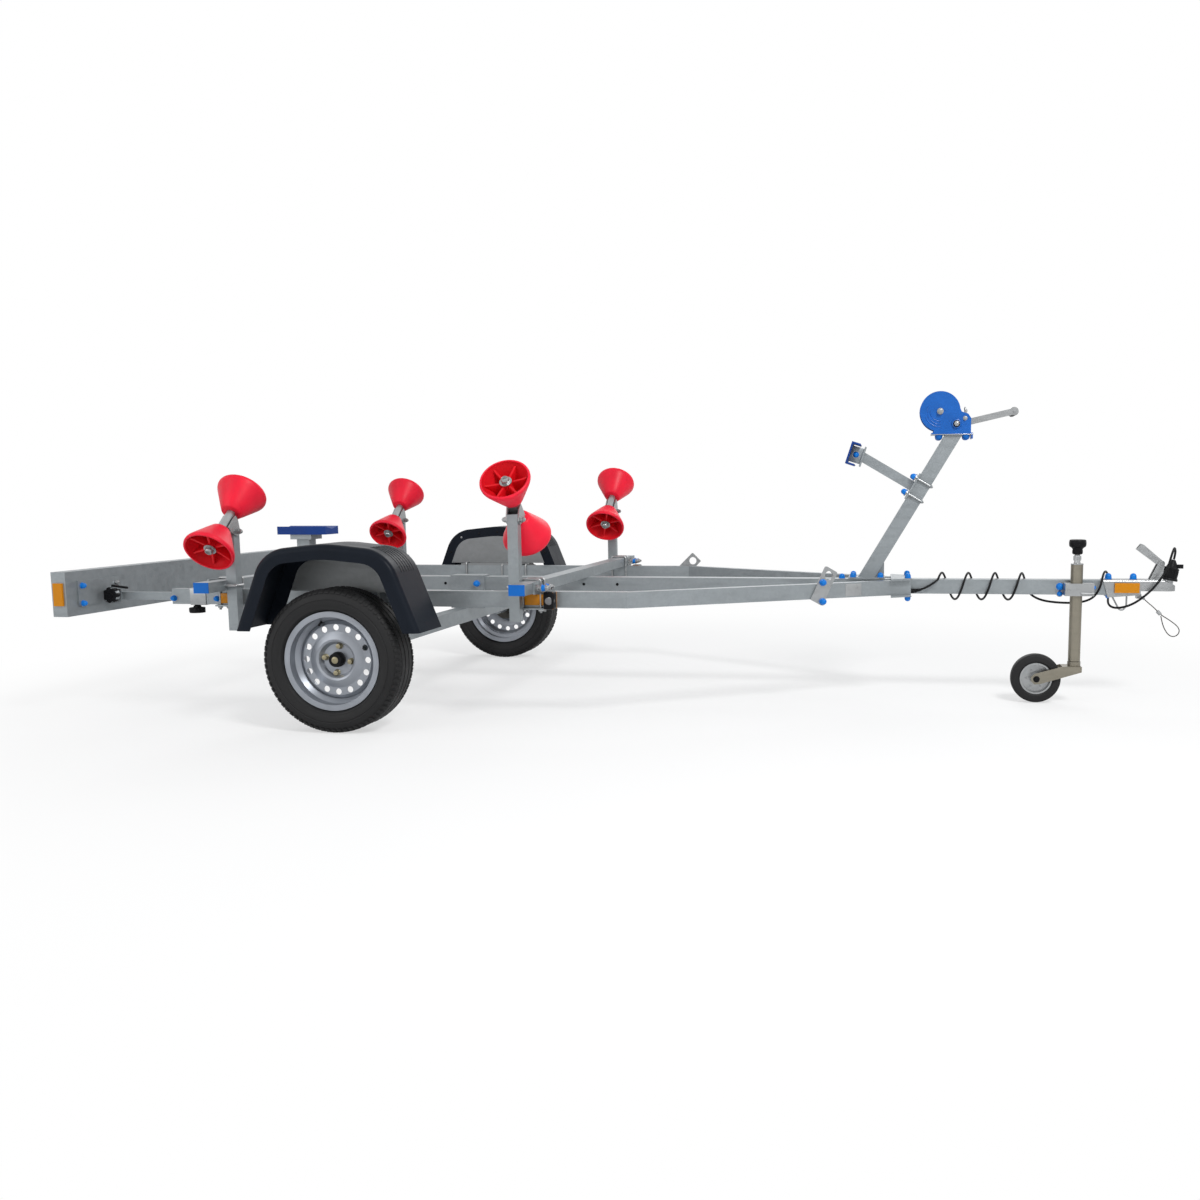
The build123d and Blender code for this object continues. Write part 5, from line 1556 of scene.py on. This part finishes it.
@dataclass
class FrameFittings:
    """U-bolts, caps, saddles and plates over the frame's tubes."""

    beam_z: float = 520.0
    beam_half: float = 30.0
    thin_rod: float = 4.5
    rail_y: float = 720.0
    rail_face: float = 740.2
    rail_bend: float = 17.5
    rail_slope: float = math.atan2(RAIL_HALF - 75.0, 1050.0)
    # the U-bolts at the posts: gap between the legs, leg, and how far the ends stand from the beam
    post_bolt: tuple[float, float, float] = (52.0, 163.0, 58.0)
    # the U-bolts at the rails: gap, leg, and the height of their ends
    rail_bolt: tuple[float, float, float] = (70.0, 122.0, 424.0)
    rail_bolt_half: float = 25.0
    rail_pad_z: float = 436.6
    # at the axle's brackets: middle of each pair, half the way between the two, leg
    axle_bolts: tuple[tuple[float, float, float], ...] = ((AXLE_X + 130.0, 62, 87), (AXLE_X, 120, 97))
    axle_bolt_z: float = 418.0
    saddle_cap: tuple[float, float] = (AXLE_X + 203, 41.2)
    post_foot_x: float = NOSE_X - 1272.0
    post_foot_caps: tuple[float, ...] = (-52, 62)
    post_foot_cap_y: float = 47.0
    tube_top: float = 500.2
    clamp_x: float = NOSE_X - 1098.0
    clamp_y: float = 82.0
    clamp_top: float = 508.2
    clamp_under: float = 431.8
    clamp_end_x: float = 711.3
    clamp_end_z: tuple[float, ...] = (506, 430)
    tie_down_x: tuple[float, ...] = (AXLE_X - 788, AXLE_X - 604)
    tie_down_z: float = 463.0
    far_plate: tuple[float, float] = (AXLE_X + 1009, 748.5)
    far_plate_z: tuple[float, ...] = (512, 428)
    hole_places: tuple[float, ...] = (AXLE_X + 688, AXLE_X + 837, AXLE_X + 56, AXLE_X - 360)
    strap_x: float = AXLE_X - 718
    reflector: tuple[float, float] = (AXLE_X - 549, 465)
    type_plate_x: float = 835.0

    def build(self) -> None:
        """Dresses the frame's nodes and adds the fittings."""
        Bench.dress(
            GALVANISED, "side_rail_right", "side_rail_left", "drawbar", "axle_beam", "cross_beams",
            "front_roller_posts", "rear_roller_posts", "keel_stand", "winch_post", "drawbar_clamp",
            "drawbar_saddle", "bow_stop_arm", "trailing_arm_right", "trailing_arm_left",
        )
        Bench.dress(SHEET, "guard_stays")
        Bench.dress(PLATED, "tie_downs")
        Bench.dress(DEEP_BLUE, "beam_end_caps")
        Bench.dress(PAD_BLUE, "keel_pad")
        for end in End:
            self.build_beam_clamps(end)
        self.build_axle_clamps()
        self.build_drawbar_bolts()
        self.build_rail_details()
        self.build_type_plate()

    def on_sloping_rail(self, x: float, z: float, out: float) -> Matrix:
        """A place on the outer face of the right rail, past its bend.

        Args:
            x: X of the place.
            z: its height.
            out: how far it stands out of the face.

        Returns:
            The place, with local X along the rail and local Z out of it.
        """
        slope = self.rail_slope
        facing = Vector((math.sin(slope), -math.cos(slope), 0))
        y = -RAIL_HALF + (x - self.rail_bend) * math.tan(slope)
        return seat(Vector((x, y, z)) + facing * out, (math.cos(slope), math.sin(slope), 0), facing)

    def build_beam_clamps(self, end: End) -> None:
        """At each post a U-bolt through a saddle, and two U-bolts over the beam at each rail.

        Args:
            end: which cross beam.
        """
        way, z = end.value[2], self.beam_z
        face = end.beam_x + way * self.beam_half
        kit, saddles = Hardware(f"beam_{end.word}", "frame"), Shape()
        for side in Side:
            y, rail_y = side.value * POST_Y, side.value * self.rail_y
            gap, leg, out = self.post_bolt
            kit.u_bolt(lengthways(face + way * out, y, z, -way, LEFT), width=gap, leg=leg)
            for across in (-gap / 2, gap / 2):
                kit.cap(lengthways(face + way * 30, y + across, z, way), 0.82)
                kit.nut(lengthways(face + way * 6, y + across, z, way), 9.5, 14)
            saddles.add(tube(48, 84, 6, 4, 2), lengthways(face, y, z, way))
            saddles.add(block(46, 80, 5, 1), lengthways(face + way * 2.6, y, z, way))
            gap, leg, foot = self.rail_bolt
            for along_y in (rail_y - self.rail_bolt_half, rail_y + self.rail_bolt_half):
                kit.u_bolt(upright(end.beam_x, along_y, foot), width=gap, leg=leg, radius=self.thin_rod)
            saddles.add(block(100, 78, 6), upright(end.beam_x, rail_y, self.rail_pad_z))
        kit.finish()
        Bench.put(f"beam_saddles_{end.word}", saddles, "frame", GALVANISED)

    def build_axle_clamps(self) -> None:
        """U-bolts over the rails at the axle's brackets, and caps on the drawbar's saddle."""
        kit = Hardware("axle", "frame")
        for side in Side:
            for middle, apart, leg in self.axle_bolts:
                for x in (middle - apart, middle + apart):
                    foot = seat((x, side.value * self.rail_y, self.axle_bolt_z), LEFT, UP)
                    kit.u_bolt(foot, width=50, leg=leg, radius=self.thin_rod)
            x, y = self.saddle_cap
            kit.cap(aside(x, side.value * y, FRAME_Z, side.value), 0.9)
        kit.finish()

    def build_drawbar_bolts(self) -> None:
        """Caps on the winch post's foot, at the clamp of the rails, the tie-downs and the slides."""
        kit = Hardware("drawbar", "frame", cap_radius=12.5, cap_height=20.0)
        for x in self.post_foot_caps:
            for side in Side:
                kit.cap(upright(self.post_foot_x + x, side.value * self.post_foot_cap_y, self.clamp_top))
        kit.cap(upright(self.post_foot_x - 99, 0, self.tube_top))
        for side in Side:
            y = side.value * self.clamp_y
            kit.cap(upright(self.clamp_x, y, self.clamp_top))
            kit.cap(seat((self.clamp_x, y, self.clamp_under), FORWARD, DOWN))
            for x in self.tie_down_x:
                kit.cap(aside(x, side.value * self.rail_face, self.tie_down_z, side.value), 0.85)
        for z in self.clamp_end_z:
            kit.cap(self.on_sloping_rail(self.clamp_end_x, z, 8.2))
        x, y = self.far_plate
        for z in self.far_plate_z:
            kit.cap(aside(x, y, z, 1))
        kit.finish()

    def build_rail_details(self) -> None:
        """Black discs as painted shade for the bolt holes along the tubes, straps at the rails' ends and rear
        reflectors.
        """
        holes, straps, lenses = Shape(), Shape(), Shape()
        for side in Side:
            way = side.value
            for x in self.hole_places:
                # a thin black disc paints the shade inside each bolt hole
                holes.add(disc(0, 0.5, 6.5, 18), aside(x, way * 35, FRAME_Z, way))
            straps.add(tube(46, 66, 66, 2.6), lengthways(self.strap_x, way * self.rail_y, FRAME_Z, 1, LEFT))
            x, z = self.reflector
            lenses.add(block(84, 40, 7, 2), aside(x, way * (self.rail_face + 3.2), z, way))
        Bench.put("frame_hole_shade", holes, "frame", BLACK)
        Bench.put("rail_straps", straps, "frame", PLATED)
        Bench.put("rear_side_reflectors", lenses, "frame", AMBER)

    def build_type_plate(self) -> None:
        """A blank plate riveted to the right rail."""
        spot = self.on_sloping_rail(self.type_plate_x, FRAME_Z, 0.4)
        shape = Shape((block(74, 50, 1.0, 0.3), spot))
        for x in (-32, 32):
            for y in (-20, 20):
                shape.add(turned([(0, 0), (0, 2.2), (0.9, 1.6), (1.2, 0)], 10), shifted(spot, x, y, 0.4))
        Bench.put("type_plate", shape, "frame", PLATED)


# ------------------------------------------------------------------ winch and bow stop


@dataclass
class WinchStation:
    """The winch, its handle and the bow stop on the leaning post."""

    foot: tuple[float, float] = (NOSE_X - 1272.0, 500.0)
    lean: float = math.radians(59.35)
    drum: tuple[float, float] = (NOSE_X - 977.0, 1187.0)
    pinion: tuple[float, float] = (NOSE_X - 911.0, 1136.0)
    cheek_y: float = 40.0
    base_z: float = 1093.0
    teeth: int = 48
    tooth: Outline = ((61, -2.0), (65.5, -1.1), (65.8, 0), (65.5, 1.1), (61, 2.0))
    # radius and angle of each embossed arc
    arcs: Outline = ((52, 120), (40, 90), (63, 70))
    boss: Outline = ((0, 9), (0, 21), (4, 19), (6, 14), (6, 9), (0, 9))
    # each measured from the drum's axis or the trailer's middle
    cup_x: tuple[float, ...] = (-3, 106)
    cup_y: float = 24.0
    plate_x: float = 49.0
    stud: tuple[float, float] = (130.0, -38.0)
    pawl_at: Point = (101.0, -14.0, -26.0)
    pivot_at: tuple[float, float] = (100.0, -29.0)
    foot_cup: Outline = ((0, 0), (0, 15), (10, 14.5), (17, 12), (21, 7), (22, 0))
    pawl: Outline = ((-9, -6), (-4, 20), (2, 34), (8, 36), (9, 28), (5, 10), (9, -6))
    crank_length: float = 246.0
    crank_turn: float = math.atan2(54.0, 241.0)
    crank_y: float = 66.0
    grip_ribs: int = 8
    stop_along: float = 427.0
    stop_half: float = 36.0
    pad_behind: float = 276.0
    pad_turn: float = math.radians(72.0)
    pad_width: float = 150.0
    # along the pad and into it, seen from the side
    pad_channel: Outline = (
        (-47, 57), (47, 57), (47, 20), (42, 16), (39, 20),
        (39, 49), (-39, 49), (-39, 20), (-42, 16), (-47, 20),
    )

    def on_post(self, along: float, behind: float, y: float = 0.0) -> Vector:
        """A point by the post.

        Args:
            along: how far up the post.
            behind: how far behind its middle.
            y: its Y.

        Returns:
            The point.
        """
        x = self.foot[0] + along * math.cos(self.lean) - behind * math.sin(self.lean)
        z = self.foot[1] + along * math.sin(self.lean) + behind * math.cos(self.lean)
        return Vector((x, y, z))

    def by_drum(self, x: float, y: float, z: float, way: float) -> Matrix:
        """A place measured from the drum's axis, facing one side.

        Args:
            x: from the axis, forward.
            y: from the trailer's middle.
            z: from the axis, up.
            way: the sign of Y that it faces.

        Returns:
            The place.
        """
        return aside(self.drum[0] + x, y, self.drum[1] + z, way)

    def by_pinion(self, y: float, way: float) -> Matrix:
        """A place on the pinion's axis at that Y, facing one side."""
        return aside(self.pinion[0], y, self.pinion[1], way)

    def build(self) -> None:
        """Builds all of the station."""
        Bench.dress(WINCH_PAINT, "winch_frame")
        Bench.dress(DARK_STEEL, "winch_drum")
        Bench.dress(PLATED, "winch_handle")
        self.build_cheeks()
        self.build_base()
        self.build_drum()
        self.build_handle()
        self.build_bow_stop()

    def build_cheeks(self) -> None:
        """Embossed rings, bosses and nuts on both cheeks."""
        rings, kit = Shape(), Hardware("winch", "frame")
        edge_on = Matrix.Rotation(math.pi / 2, 4, "Y")
        for way in (-1, 1):
            cheek = way * self.cheek_y
            turn = Matrix.Rotation(math.radians(-178 if way < 0 else -60), 4, "Z")
            for radius, span in self.arcs:
                start = shifted(self.by_drum(0, cheek, 0, way) @ turn, 0, radius, 0.2) @ edge_on
                rings.add(rod(1.8, (Bend(span, radius, (0, -1, 0)),), 8), start)
            rings.add(turned(self.boss, 28), self.by_pinion(cheek, way))
            kit.nut(self.by_drum(0, way * 45, 0, way), 10, 4)
            kit.nut(self.by_drum(self.pivot_at[0], cheek, self.pivot_at[1], way), 7, 3)
        kit.nut(self.by_pinion(-44, -1), 11, 4)
        Bench.put("winch_emboss", rings, "frame", WINCH_PAINT)
        kit.finish()

    def build_base(self) -> None:
        """The cups under the base, its plate with a stud, and the pawl with its hooked rod."""
        cups, base = Shape(), Shape()
        for x in self.cup_x:
            for y in (-self.cup_y, self.cup_y):
                cups.add(turned(self.foot_cup, 24), seat((self.drum[0] + x, y, self.base_z), FORWARD, DOWN))
        x, y, z = self.pawl_at
        base.add(plate(self.pawl, 5, 0.8), self.by_drum(x, y, z, -1))
        hooked = rod(3.5, (Run(20), Bend(180, 5, (1, 0, 0)), Run(6)), 10)
        base.add(hooked, seat((self.drum[0] + x, y, self.drum[1] + z + 18), LEFT, (0, 0.2, 1)))
        base.add(block(168, 84, 3, 1), upright(self.drum[0] + self.plate_x, 0, self.base_z + 0.4))
        # the bend runs along the stud, so it draws its end in
        stud = rod(3.4, (Run(4), Bend(90, 9, (0, 0, -1)), Run(14)), 10)
        x, y = self.stud
        base.add(stud, lengthways(self.drum[0] + x, y, self.base_z + 1, 1, LEFT))
        Bench.put("winch_feet", cups, "frame", DEEP_BLUE)
        Bench.put("winch_pawl", base, "frame", PLATED)

    def build_drum(self) -> None:
        """Gear teeth on the drum's rim."""
        shape = Shape()
        for turn in turns(self.teeth):
            shape.add(plate(self.tooth, 8), shifted(self.by_drum(0, 0, 0, 1) @ turn, z=-33))
        Bench.put("drum_teeth", shape, "winch_drum", DARK_STEEL)

    def build_handle(self) -> None:
        """The flat crank's nuts and a ribbed grip."""
        x = self.pinion[0] + self.crank_length * math.cos(self.crank_turn)
        z = self.pinion[1] + self.crank_length * math.sin(self.crank_turn)
        rings = [(0, 0), (0, 15), (3, 17.5), (8, 17.5), (11, 15.2)]
        for k in range(self.grip_ribs):
            rings += [(14 + 10 * k, 16.6), (18 + 10 * k, 16.8), (21 + 10 * k, 15.4)]
        rings += [(96, 16.6), (104, 17.2), (109, 15), (111, 8), (111.5, 0)]
        grip = Shape((turned(rings, 28), aside(x, self.crank_y + 6.2, z, 1)))
        Bench.put("handle_grip", grip, "winch_handle", BLACK)
        end = turned([(0, 0), (0, 7), (1, 6), (1.4, 0)], 20)
        nuts = Shape((prism(6, 12, 10), self.by_pinion(self.crank_y + 6, 1)))
        nuts.add(end, aside(x, self.crank_y, z, -1))
        Bench.put("handle_nuts", nuts, "winch_handle", PLATED)

    def build_bow_stop(self) -> None:
        """Two bands round the post, the pad's channel and bracket, and blue caps."""
        kit, bands = Hardware("bow_stop", "frame", cap_radius=12.0, cap_height=20.0), Shape()
        up = Vector((math.cos(self.lean), 0, math.sin(self.lean)))
        behind = Vector((-math.sin(self.lean), 0, math.cos(self.lean)))
        for along in (self.stop_along - self.stop_half, self.stop_along + self.stop_half):
            kit.u_bolt(seat(self.on_post(along, 54), LEFT, -behind), width=74, leg=90)
            for y in (-37, 37):
                kit.cap(seat(self.on_post(along, 44, y), up, behind))
            bands.add(block(96, 14, 4, 1), seat(self.on_post(along, -32.4), LEFT, -behind))
        pad = self.on_post(self.stop_along, self.pad_behind)
        back = Vector((-math.sin(self.pad_turn), 0, math.cos(self.pad_turn)))
        rise = Vector((math.cos(self.pad_turn), 0, math.sin(self.pad_turn)))
        channel = plate(self.pad_channel, self.pad_width, 1.5)
        place = shifted(seat(pad, rise, rise.cross(back)), z=-self.pad_width / 2)
        Bench.put("bow_cushion", Shape((channel, place)), "frame", PAD_BLUE, ["bow_pad"])
        for way in (-1, 1):
            flank = seat(pad + Vector((0, way * 24, 0)), (0, way, 0), back)
            bands.add(block(4, 66, 52, 1.0), shifted(flank, z=24))
            kit.cap(seat(pad + back * 26 + Vector((0, way * 26.5, 0)), rise, (0, way, 0)), 0.95)
        Bench.put("bow_stop_bands", bands, "frame", GALVANISED)
        kit.finish()


# ------------------------------------------------------------------ coupling and jockey wheel


@dataclass
class CouplingSet:
    """The coupling's caps, the plug's ribs and the marker lamps."""

    bolt_x: tuple[float, float] = (AXLE_X + 2886, AXLE_X + 2984)
    hood_top: float = 503.2
    hood_foot: float = 439.8
    plug: Point = (NOSE_X - 54.0, 0.0, 500.0)
    plug_lean: float = math.radians(12.0)
    plug_ribs: int = 16
    boot_rings: int = 4
    lamp_x: float = AXLE_X + 752
    lamp_lens: Outline = ((0, 0), (0, 13), (2, 15), (5, 14), (7, 10), (8, 0))

    def build(self) -> None:
        """Builds the coupling's small parts."""
        Bench.dress(PLATED, "coupling", "coupling_lever")
        Bench.dress(AMBER, "side_reflectors")
        kit = Hardware("coupling", "frame", cap_radius=13.5, cap_height=24.0)
        for x in self.bolt_x:
            kit.cap(upright(x, 0, self.hood_top))
        kit.cap(seat((self.bolt_x[0], 0, self.hood_foot), FORWARD, DOWN), 0.7)
        kit.finish()
        self.build_plug()
        self.build_marker_lamps()

    def build_plug(self) -> None:
        """Ribs, the collar and the lid of the plug, and the rings of its boot."""
        place = seat(self.plug, LEFT, (math.sin(self.plug_lean), 0, math.cos(self.plug_lean)))
        collar = turned([(1, 30), (1, 34.5), (7, 34.5), (9, 33), (9, 30), (1, 30)], 40)
        lid = turned([(44, 27), (44, 31), (50, 30.5), (52, 26), (44, 27)], 40)
        shape = Shape((collar, place), (lid, place))
        for turn in turns(self.plug_ribs):
            shape.add(block(3.2, 5.5, 30, 1.0), shifted(place @ turn, 29.2, 0, 27))
        for k in range(self.boot_rings):
            foot, wide = 60 + 6 * k, 18.6 - 3.0 * k
            ring = [(foot, 4), (foot, wide), (foot + 3.4, wide - 0.8), (foot + 3.4, 4), (foot, 4)]
            shape.add(turned(ring, 28), place)
        Bench.put("plug_ribs", shape, "frame", BLACK)

    def build_marker_lamps(self) -> None:
        """Black housings behind the amber lenses, with clear faces turned forward."""
        housings, clear = Shape(), Shape()
        for side in Side:
            way = side.value
            housings.add(block(40, 66, 44, 5), aside(self.lamp_x, way * 767.5, FRAME_Z, way))
            face = seat((self.lamp_x + 4, way * 786, FRAME_Z), LEFT, (0.55, way * 0.83, 0))
            clear.add(turned(self.lamp_lens, 28), face @ Matrix.Scale(1.3, 4, FORWARD))
        Bench.put("marker_lamp_housings", housings, "frame", BLACK)
        Bench.put("marker_lamp_lenses", clear, "frame", CLEAR_LENS)


@dataclass
class JockeyWheel:
    """The jockey wheel's knob, link, clamp, tyre and rim details."""

    x: float = NOSE_X - 425.0
    y: float = -72.0
    top: float = 566.0
    link_rise: float = 26.0
    wheel_x: float = NOSE_X - 425.0 - 151.0
    wheel_z: float = 100.0
    knob_ribs: int = 6
    rivets: int = 6
    knob: Outline = (
        (41.5, 0), (41.5, 16.8), (44, 18), (60, 19), (66, 22), (70, 27), (72.4, 31.2), (77, 33.2),
        (88, 33.8), (95, 33), (99.4, 31.4), (101, 28), (101.6, 14), (101.2, 0),
    )
    collar: Outline = ((0, 0), (0, 24.8), (4, 24.8), (5, 23), (5, 14), (12, 12), (40, 11.4), (46, 8), (46, 0))
    shell: Outline = ((-20, 26), (-20, 30), (-18, 31.5), (18, 31.5), (20, 30), (20, 26), (-20, 26))
    tyre: Outline = (
        (23.2, 64.2), (24, 68), (27, 71), (27, 90), (25.5, 95), (21, 98.6), (12, 99.8), (9, 99.9),
        (8.5, 98.2), (7.5, 98.2), (7, 99.95), (0.6, 100),
    )
    rivet_ring: float = 38.0
    fork_half: float = 39.0
    # rise and size of each cap on the clamp's near face, and that face's place from the tube
    clamp_caps: Outline = ((3, 1.05), (-26, 0.7))
    clamp_face: tuple[float, float] = (-59.0, 36.8)

    def build(self) -> None:
        """Builds the jockey wheel's parts."""
        Bench.dress(PLATED, "jockey_clamp", "jockey_rim")
        Bench.dress(JOCKEY_ZINC, "jockey_leg", "jockey_fork", "jockey_tube")
        self.build_knob()
        self.build_clamp()
        self.build_wheel()

    def build_knob(self) -> None:
        """The mushroom knob over its link."""
        top, pin = upright(self.x, self.y, self.top), self.top + self.link_rise
        knob = Shape((turned(self.knob, 40), top))
        for turn in turns(self.knob_ribs):
            knob.add(block(6, 8, 16, 2), shifted(top @ turn, 17.5, 0, 52))
        link = Shape(
            (turned(self.collar, 32), top),
            (block(30, 15, 20, 3), upright(self.x, self.y, pin)),
            (disc(-13, 13, 6, 18), aside(self.x, self.y, pin, 1)),
        )
        Bench.put("jockey_knob", knob, "frame", BLACK)
        Bench.put("jockey_link", link, "frame", PLATED)

    def build_clamp(self) -> None:
        """The clamp's half shell, lever and caps."""
        lever = rod(5.0, (Run(30), Bend(60, 14, (0, 0, 1)), Run(38)))
        steel = Shape(
            (turned(self.shell, 36), upright(self.x, self.y, FRAME_Z - 2)),
            (lever, seat((self.x + 14, self.y - 38, FRAME_Z - 20), UP, (1, -0.1, 0.05))),
        )
        Bench.put("jockey_clamp_lever", steel, "frame", PLATED)
        kit = Hardware("jockey", "frame", cap_radius=13.5, cap_height=20.0)
        x, y = self.clamp_face
        for rise, size in self.clamp_caps:
            kit.cap(aside(self.x + x, self.y + y, FRAME_Z + rise, -1), size)
        kit.cap(lengthways(self.x + 62, self.y - 14, FRAME_Z + 4, 1), 0.6)
        kit.finish()

    def build_wheel(self) -> None:
        """The small solid tyre, ribbed, rivets round the rim and nuts at the fork."""
        middle = aside(self.wheel_x, self.y, self.wheel_z, -1)
        tyre = Shape((turned(mirrored(self.tyre), 72), middle))
        Bench.put("caster_tyre", tyre, "jockey_wheel", TYRE, ["jockey_tyre"])
        rivets, nuts = Shape(), Shape()
        for way in (-1, 1):
            flip = Matrix.Rotation(math.pi if way < 0 else 0.0, 4, "X")
            for turn in turns(self.rivets):
                rivet = turned([(0, 0), (0, 4), (1.6, 3), (2, 0)], 12)
                rivets.add(rivet, shifted(middle @ turn, self.rivet_ring, 0, way * 4) @ flip)
            spot = aside(self.wheel_x, self.y + way * self.fork_half, self.wheel_z, way)
            nuts.add(disc(0, 2, 13), spot)
            nuts.add(prism(6, 11, 9), shifted(spot, z=2))
        Bench.put("caster_rivets", rivets, "jockey_wheel", PLATED)
        Bench.put("caster_nuts", nuts, "jockey_fork", BLACK)


# ------------------------------------------------------------------ light board


@dataclass
class LightBoard:
    """The board's lamps, reflectors, knobs and brackets, which slide together."""

    front: float = AXLE_X - 1071.0
    rear: float = AXLE_X - 1130.0
    z: float = 496.0
    slide_y: float = 757.0
    slide_knob_z: float = 476.0
    pin_z: float = 512.0
    bracket_y: float = 898.0
    bracket_z: tuple[float, ...] = (524, 456)
    # Y and height of the nuts that hold the board's plate
    plate_nut: tuple[float, float] = (700.0, 520.0)
    lamp_y: float = 840.0
    lamp_half: float = 26.5
    # each field's place from the lamp's middle, outboard
    amber_out: float = 72.0
    clear_out: float = -84.0
    rail_knob: Point = (AXLE_X - 704, 720, 425)

    def build(self) -> None:
        """Builds the light board's parts."""
        Bench.dress(GALVANISED, "light_board", "board_slides")
        Bench.dress(AMBER, "board_reflectors")
        Bench.dress(BLACK, "rail_fittings")
        self.build_slide_knobs()
        self.build_rail_knobs()
        self.build_lamps()

    def star(self, lobes: int, radius: float, depth: float, thick: float) -> bmesh.types.BMesh:
        """A knob with lobes.

        Args:
            lobes: the number of lobes.
            radius: its radius over them.
            depth: how deep the gaps are.
            thick: its thickness.

        Returns:
            The shape.
        """
        steps = lobes * 10
        ring = []
        for k in range(steps):
            turn = k * math.tau / steps
            r = radius - depth * (0.5 - 0.5 * math.cos(lobes * turn)) ** 1.6
            ring.append((r * math.cos(turn), r * math.sin(turn)))
        return plate(ring, thick, 3.0)

    def build_slide_knobs(self) -> None:
        """Star knobs and pins on the slides, and caps on the brackets."""
        knobs, kit = Shape(), Hardware("board", "light_board", cap_radius=10.5, cap_height=17.0)
        face = self.front + 6.2
        for side in Side:
            way = side.value
            spot = aside(self.front + 32, way * self.slide_y, self.slide_knob_z, way)
            knobs.add(self.star(7, 32, 5, 22), spot)
            knobs.add(turned([(21, 0), (21, 14), (26, 12), (27, 0)], 24), spot)
            pin = rod(5, (Run(66), Bend(60, 6, (0, 0, -1)), Run(5)))
            foot = (self.front + 24, way * (self.slide_y - 5), self.pin_z)
            knobs.add(pin, seat(foot, LEFT, (1, 0, -0.12)))
            for z in self.bracket_z:
                kit.cap(lengthways(face, way * self.bracket_y, z, 1, LEFT))
            y, z = self.plate_nut
            kit.nut(lengthways(face, way * y, z, 1, LEFT), 9, 3)
        Bench.put("slide_knobs", knobs, "light_board", BLACK)
        kit.finish()

    def build_rail_knobs(self) -> None:
        """Star knobs under the rails that hold the slides."""
        x, y, z = self.rail_knob
        under = Shape()
        for side in Side:
            spot = seat((x, side.value * y, z), FORWARD, DOWN)
            under.add(self.star(5, 31, 8, 18), spot)
            under.add(turned([(-8, 0), (-8, 14), (0, 15), (0, 0)], 24), spot)
        Bench.put("rail_knobs", under, "frame", BLACK)

    def build_lamps(self) -> None:
        """Lamp bodies with amber and clear fields, and the bare number plate backing."""
        middle = (self.front + self.rear) / 2 - 2
        back = middle - self.lamp_half
        red, amber, clear, frames = Shape(), Shape(), Shape(), Shape()
        for side in Side:
            y, way = side.value * self.lamp_y, side.value
            amber.add(block(60, 104, 6, 2), lengthways(back - 1, y + way * self.amber_out, self.z, -1, LEFT))
            clear.add(block(44, 104, 6, 2), lengthways(back - 1, y + way * self.clear_out, self.z, -1, LEFT))
            frames.add(tube(224, 124, 12, 5, 6), lengthways(back + 8, y, self.z, -1, LEFT))
            red.add(block(53, 220, 120, 6), upright(middle, y, self.z))
        frames.add(block(8, 520, 120), upright(self.front - 8, 0, self.z))
        Bench.put("lamp_amber_fields", amber, "light_board", AMBER)
        Bench.put("lamp_clear_fields", clear, "light_board", CLEAR_LENS)
        Bench.put("lamp_bodies", red, "light_board", RED_LENS, ["board_lamps"])
        Bench.put("lamp_frames", frames, "light_board", BLACK)


def main() -> None:
    """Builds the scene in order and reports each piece."""
    logging.basicConfig(level=logging.INFO, format="%(name)s: %(message)s")
    parts: list[tuple[str, Assembly]] = [("studio", Studio()), ("cords", Cords())]
    parts += [(f"road wheel {side.word}", RoadWheel(side)) for side in Side]
    parts += [(f"mudguard {side.word}", Mudguard(side)) for side in Side]
    for end in End:
        for side in Side:
            up = -1 if (end, side) == (End.REAR, Side.RIGHT) else 1
            parts.append((f"roller head {end.word} {side.word}", RollerHead(end, side, up)))
    parts += [
        ("frame fittings", FrameFittings()),
        ("winch station", WinchStation()),
        ("coupling", CouplingSet()),
        ("jockey wheel", JockeyWheel()),
        ("light board", LightBoard()),
    ]
    for name, part in parts:
        before = len(Bench.made)
        part.build()
        for piece in Bench.made[before:]:
            LOG.info("%s: %s", name, piece)


if __name__ == "__main__":
    main()
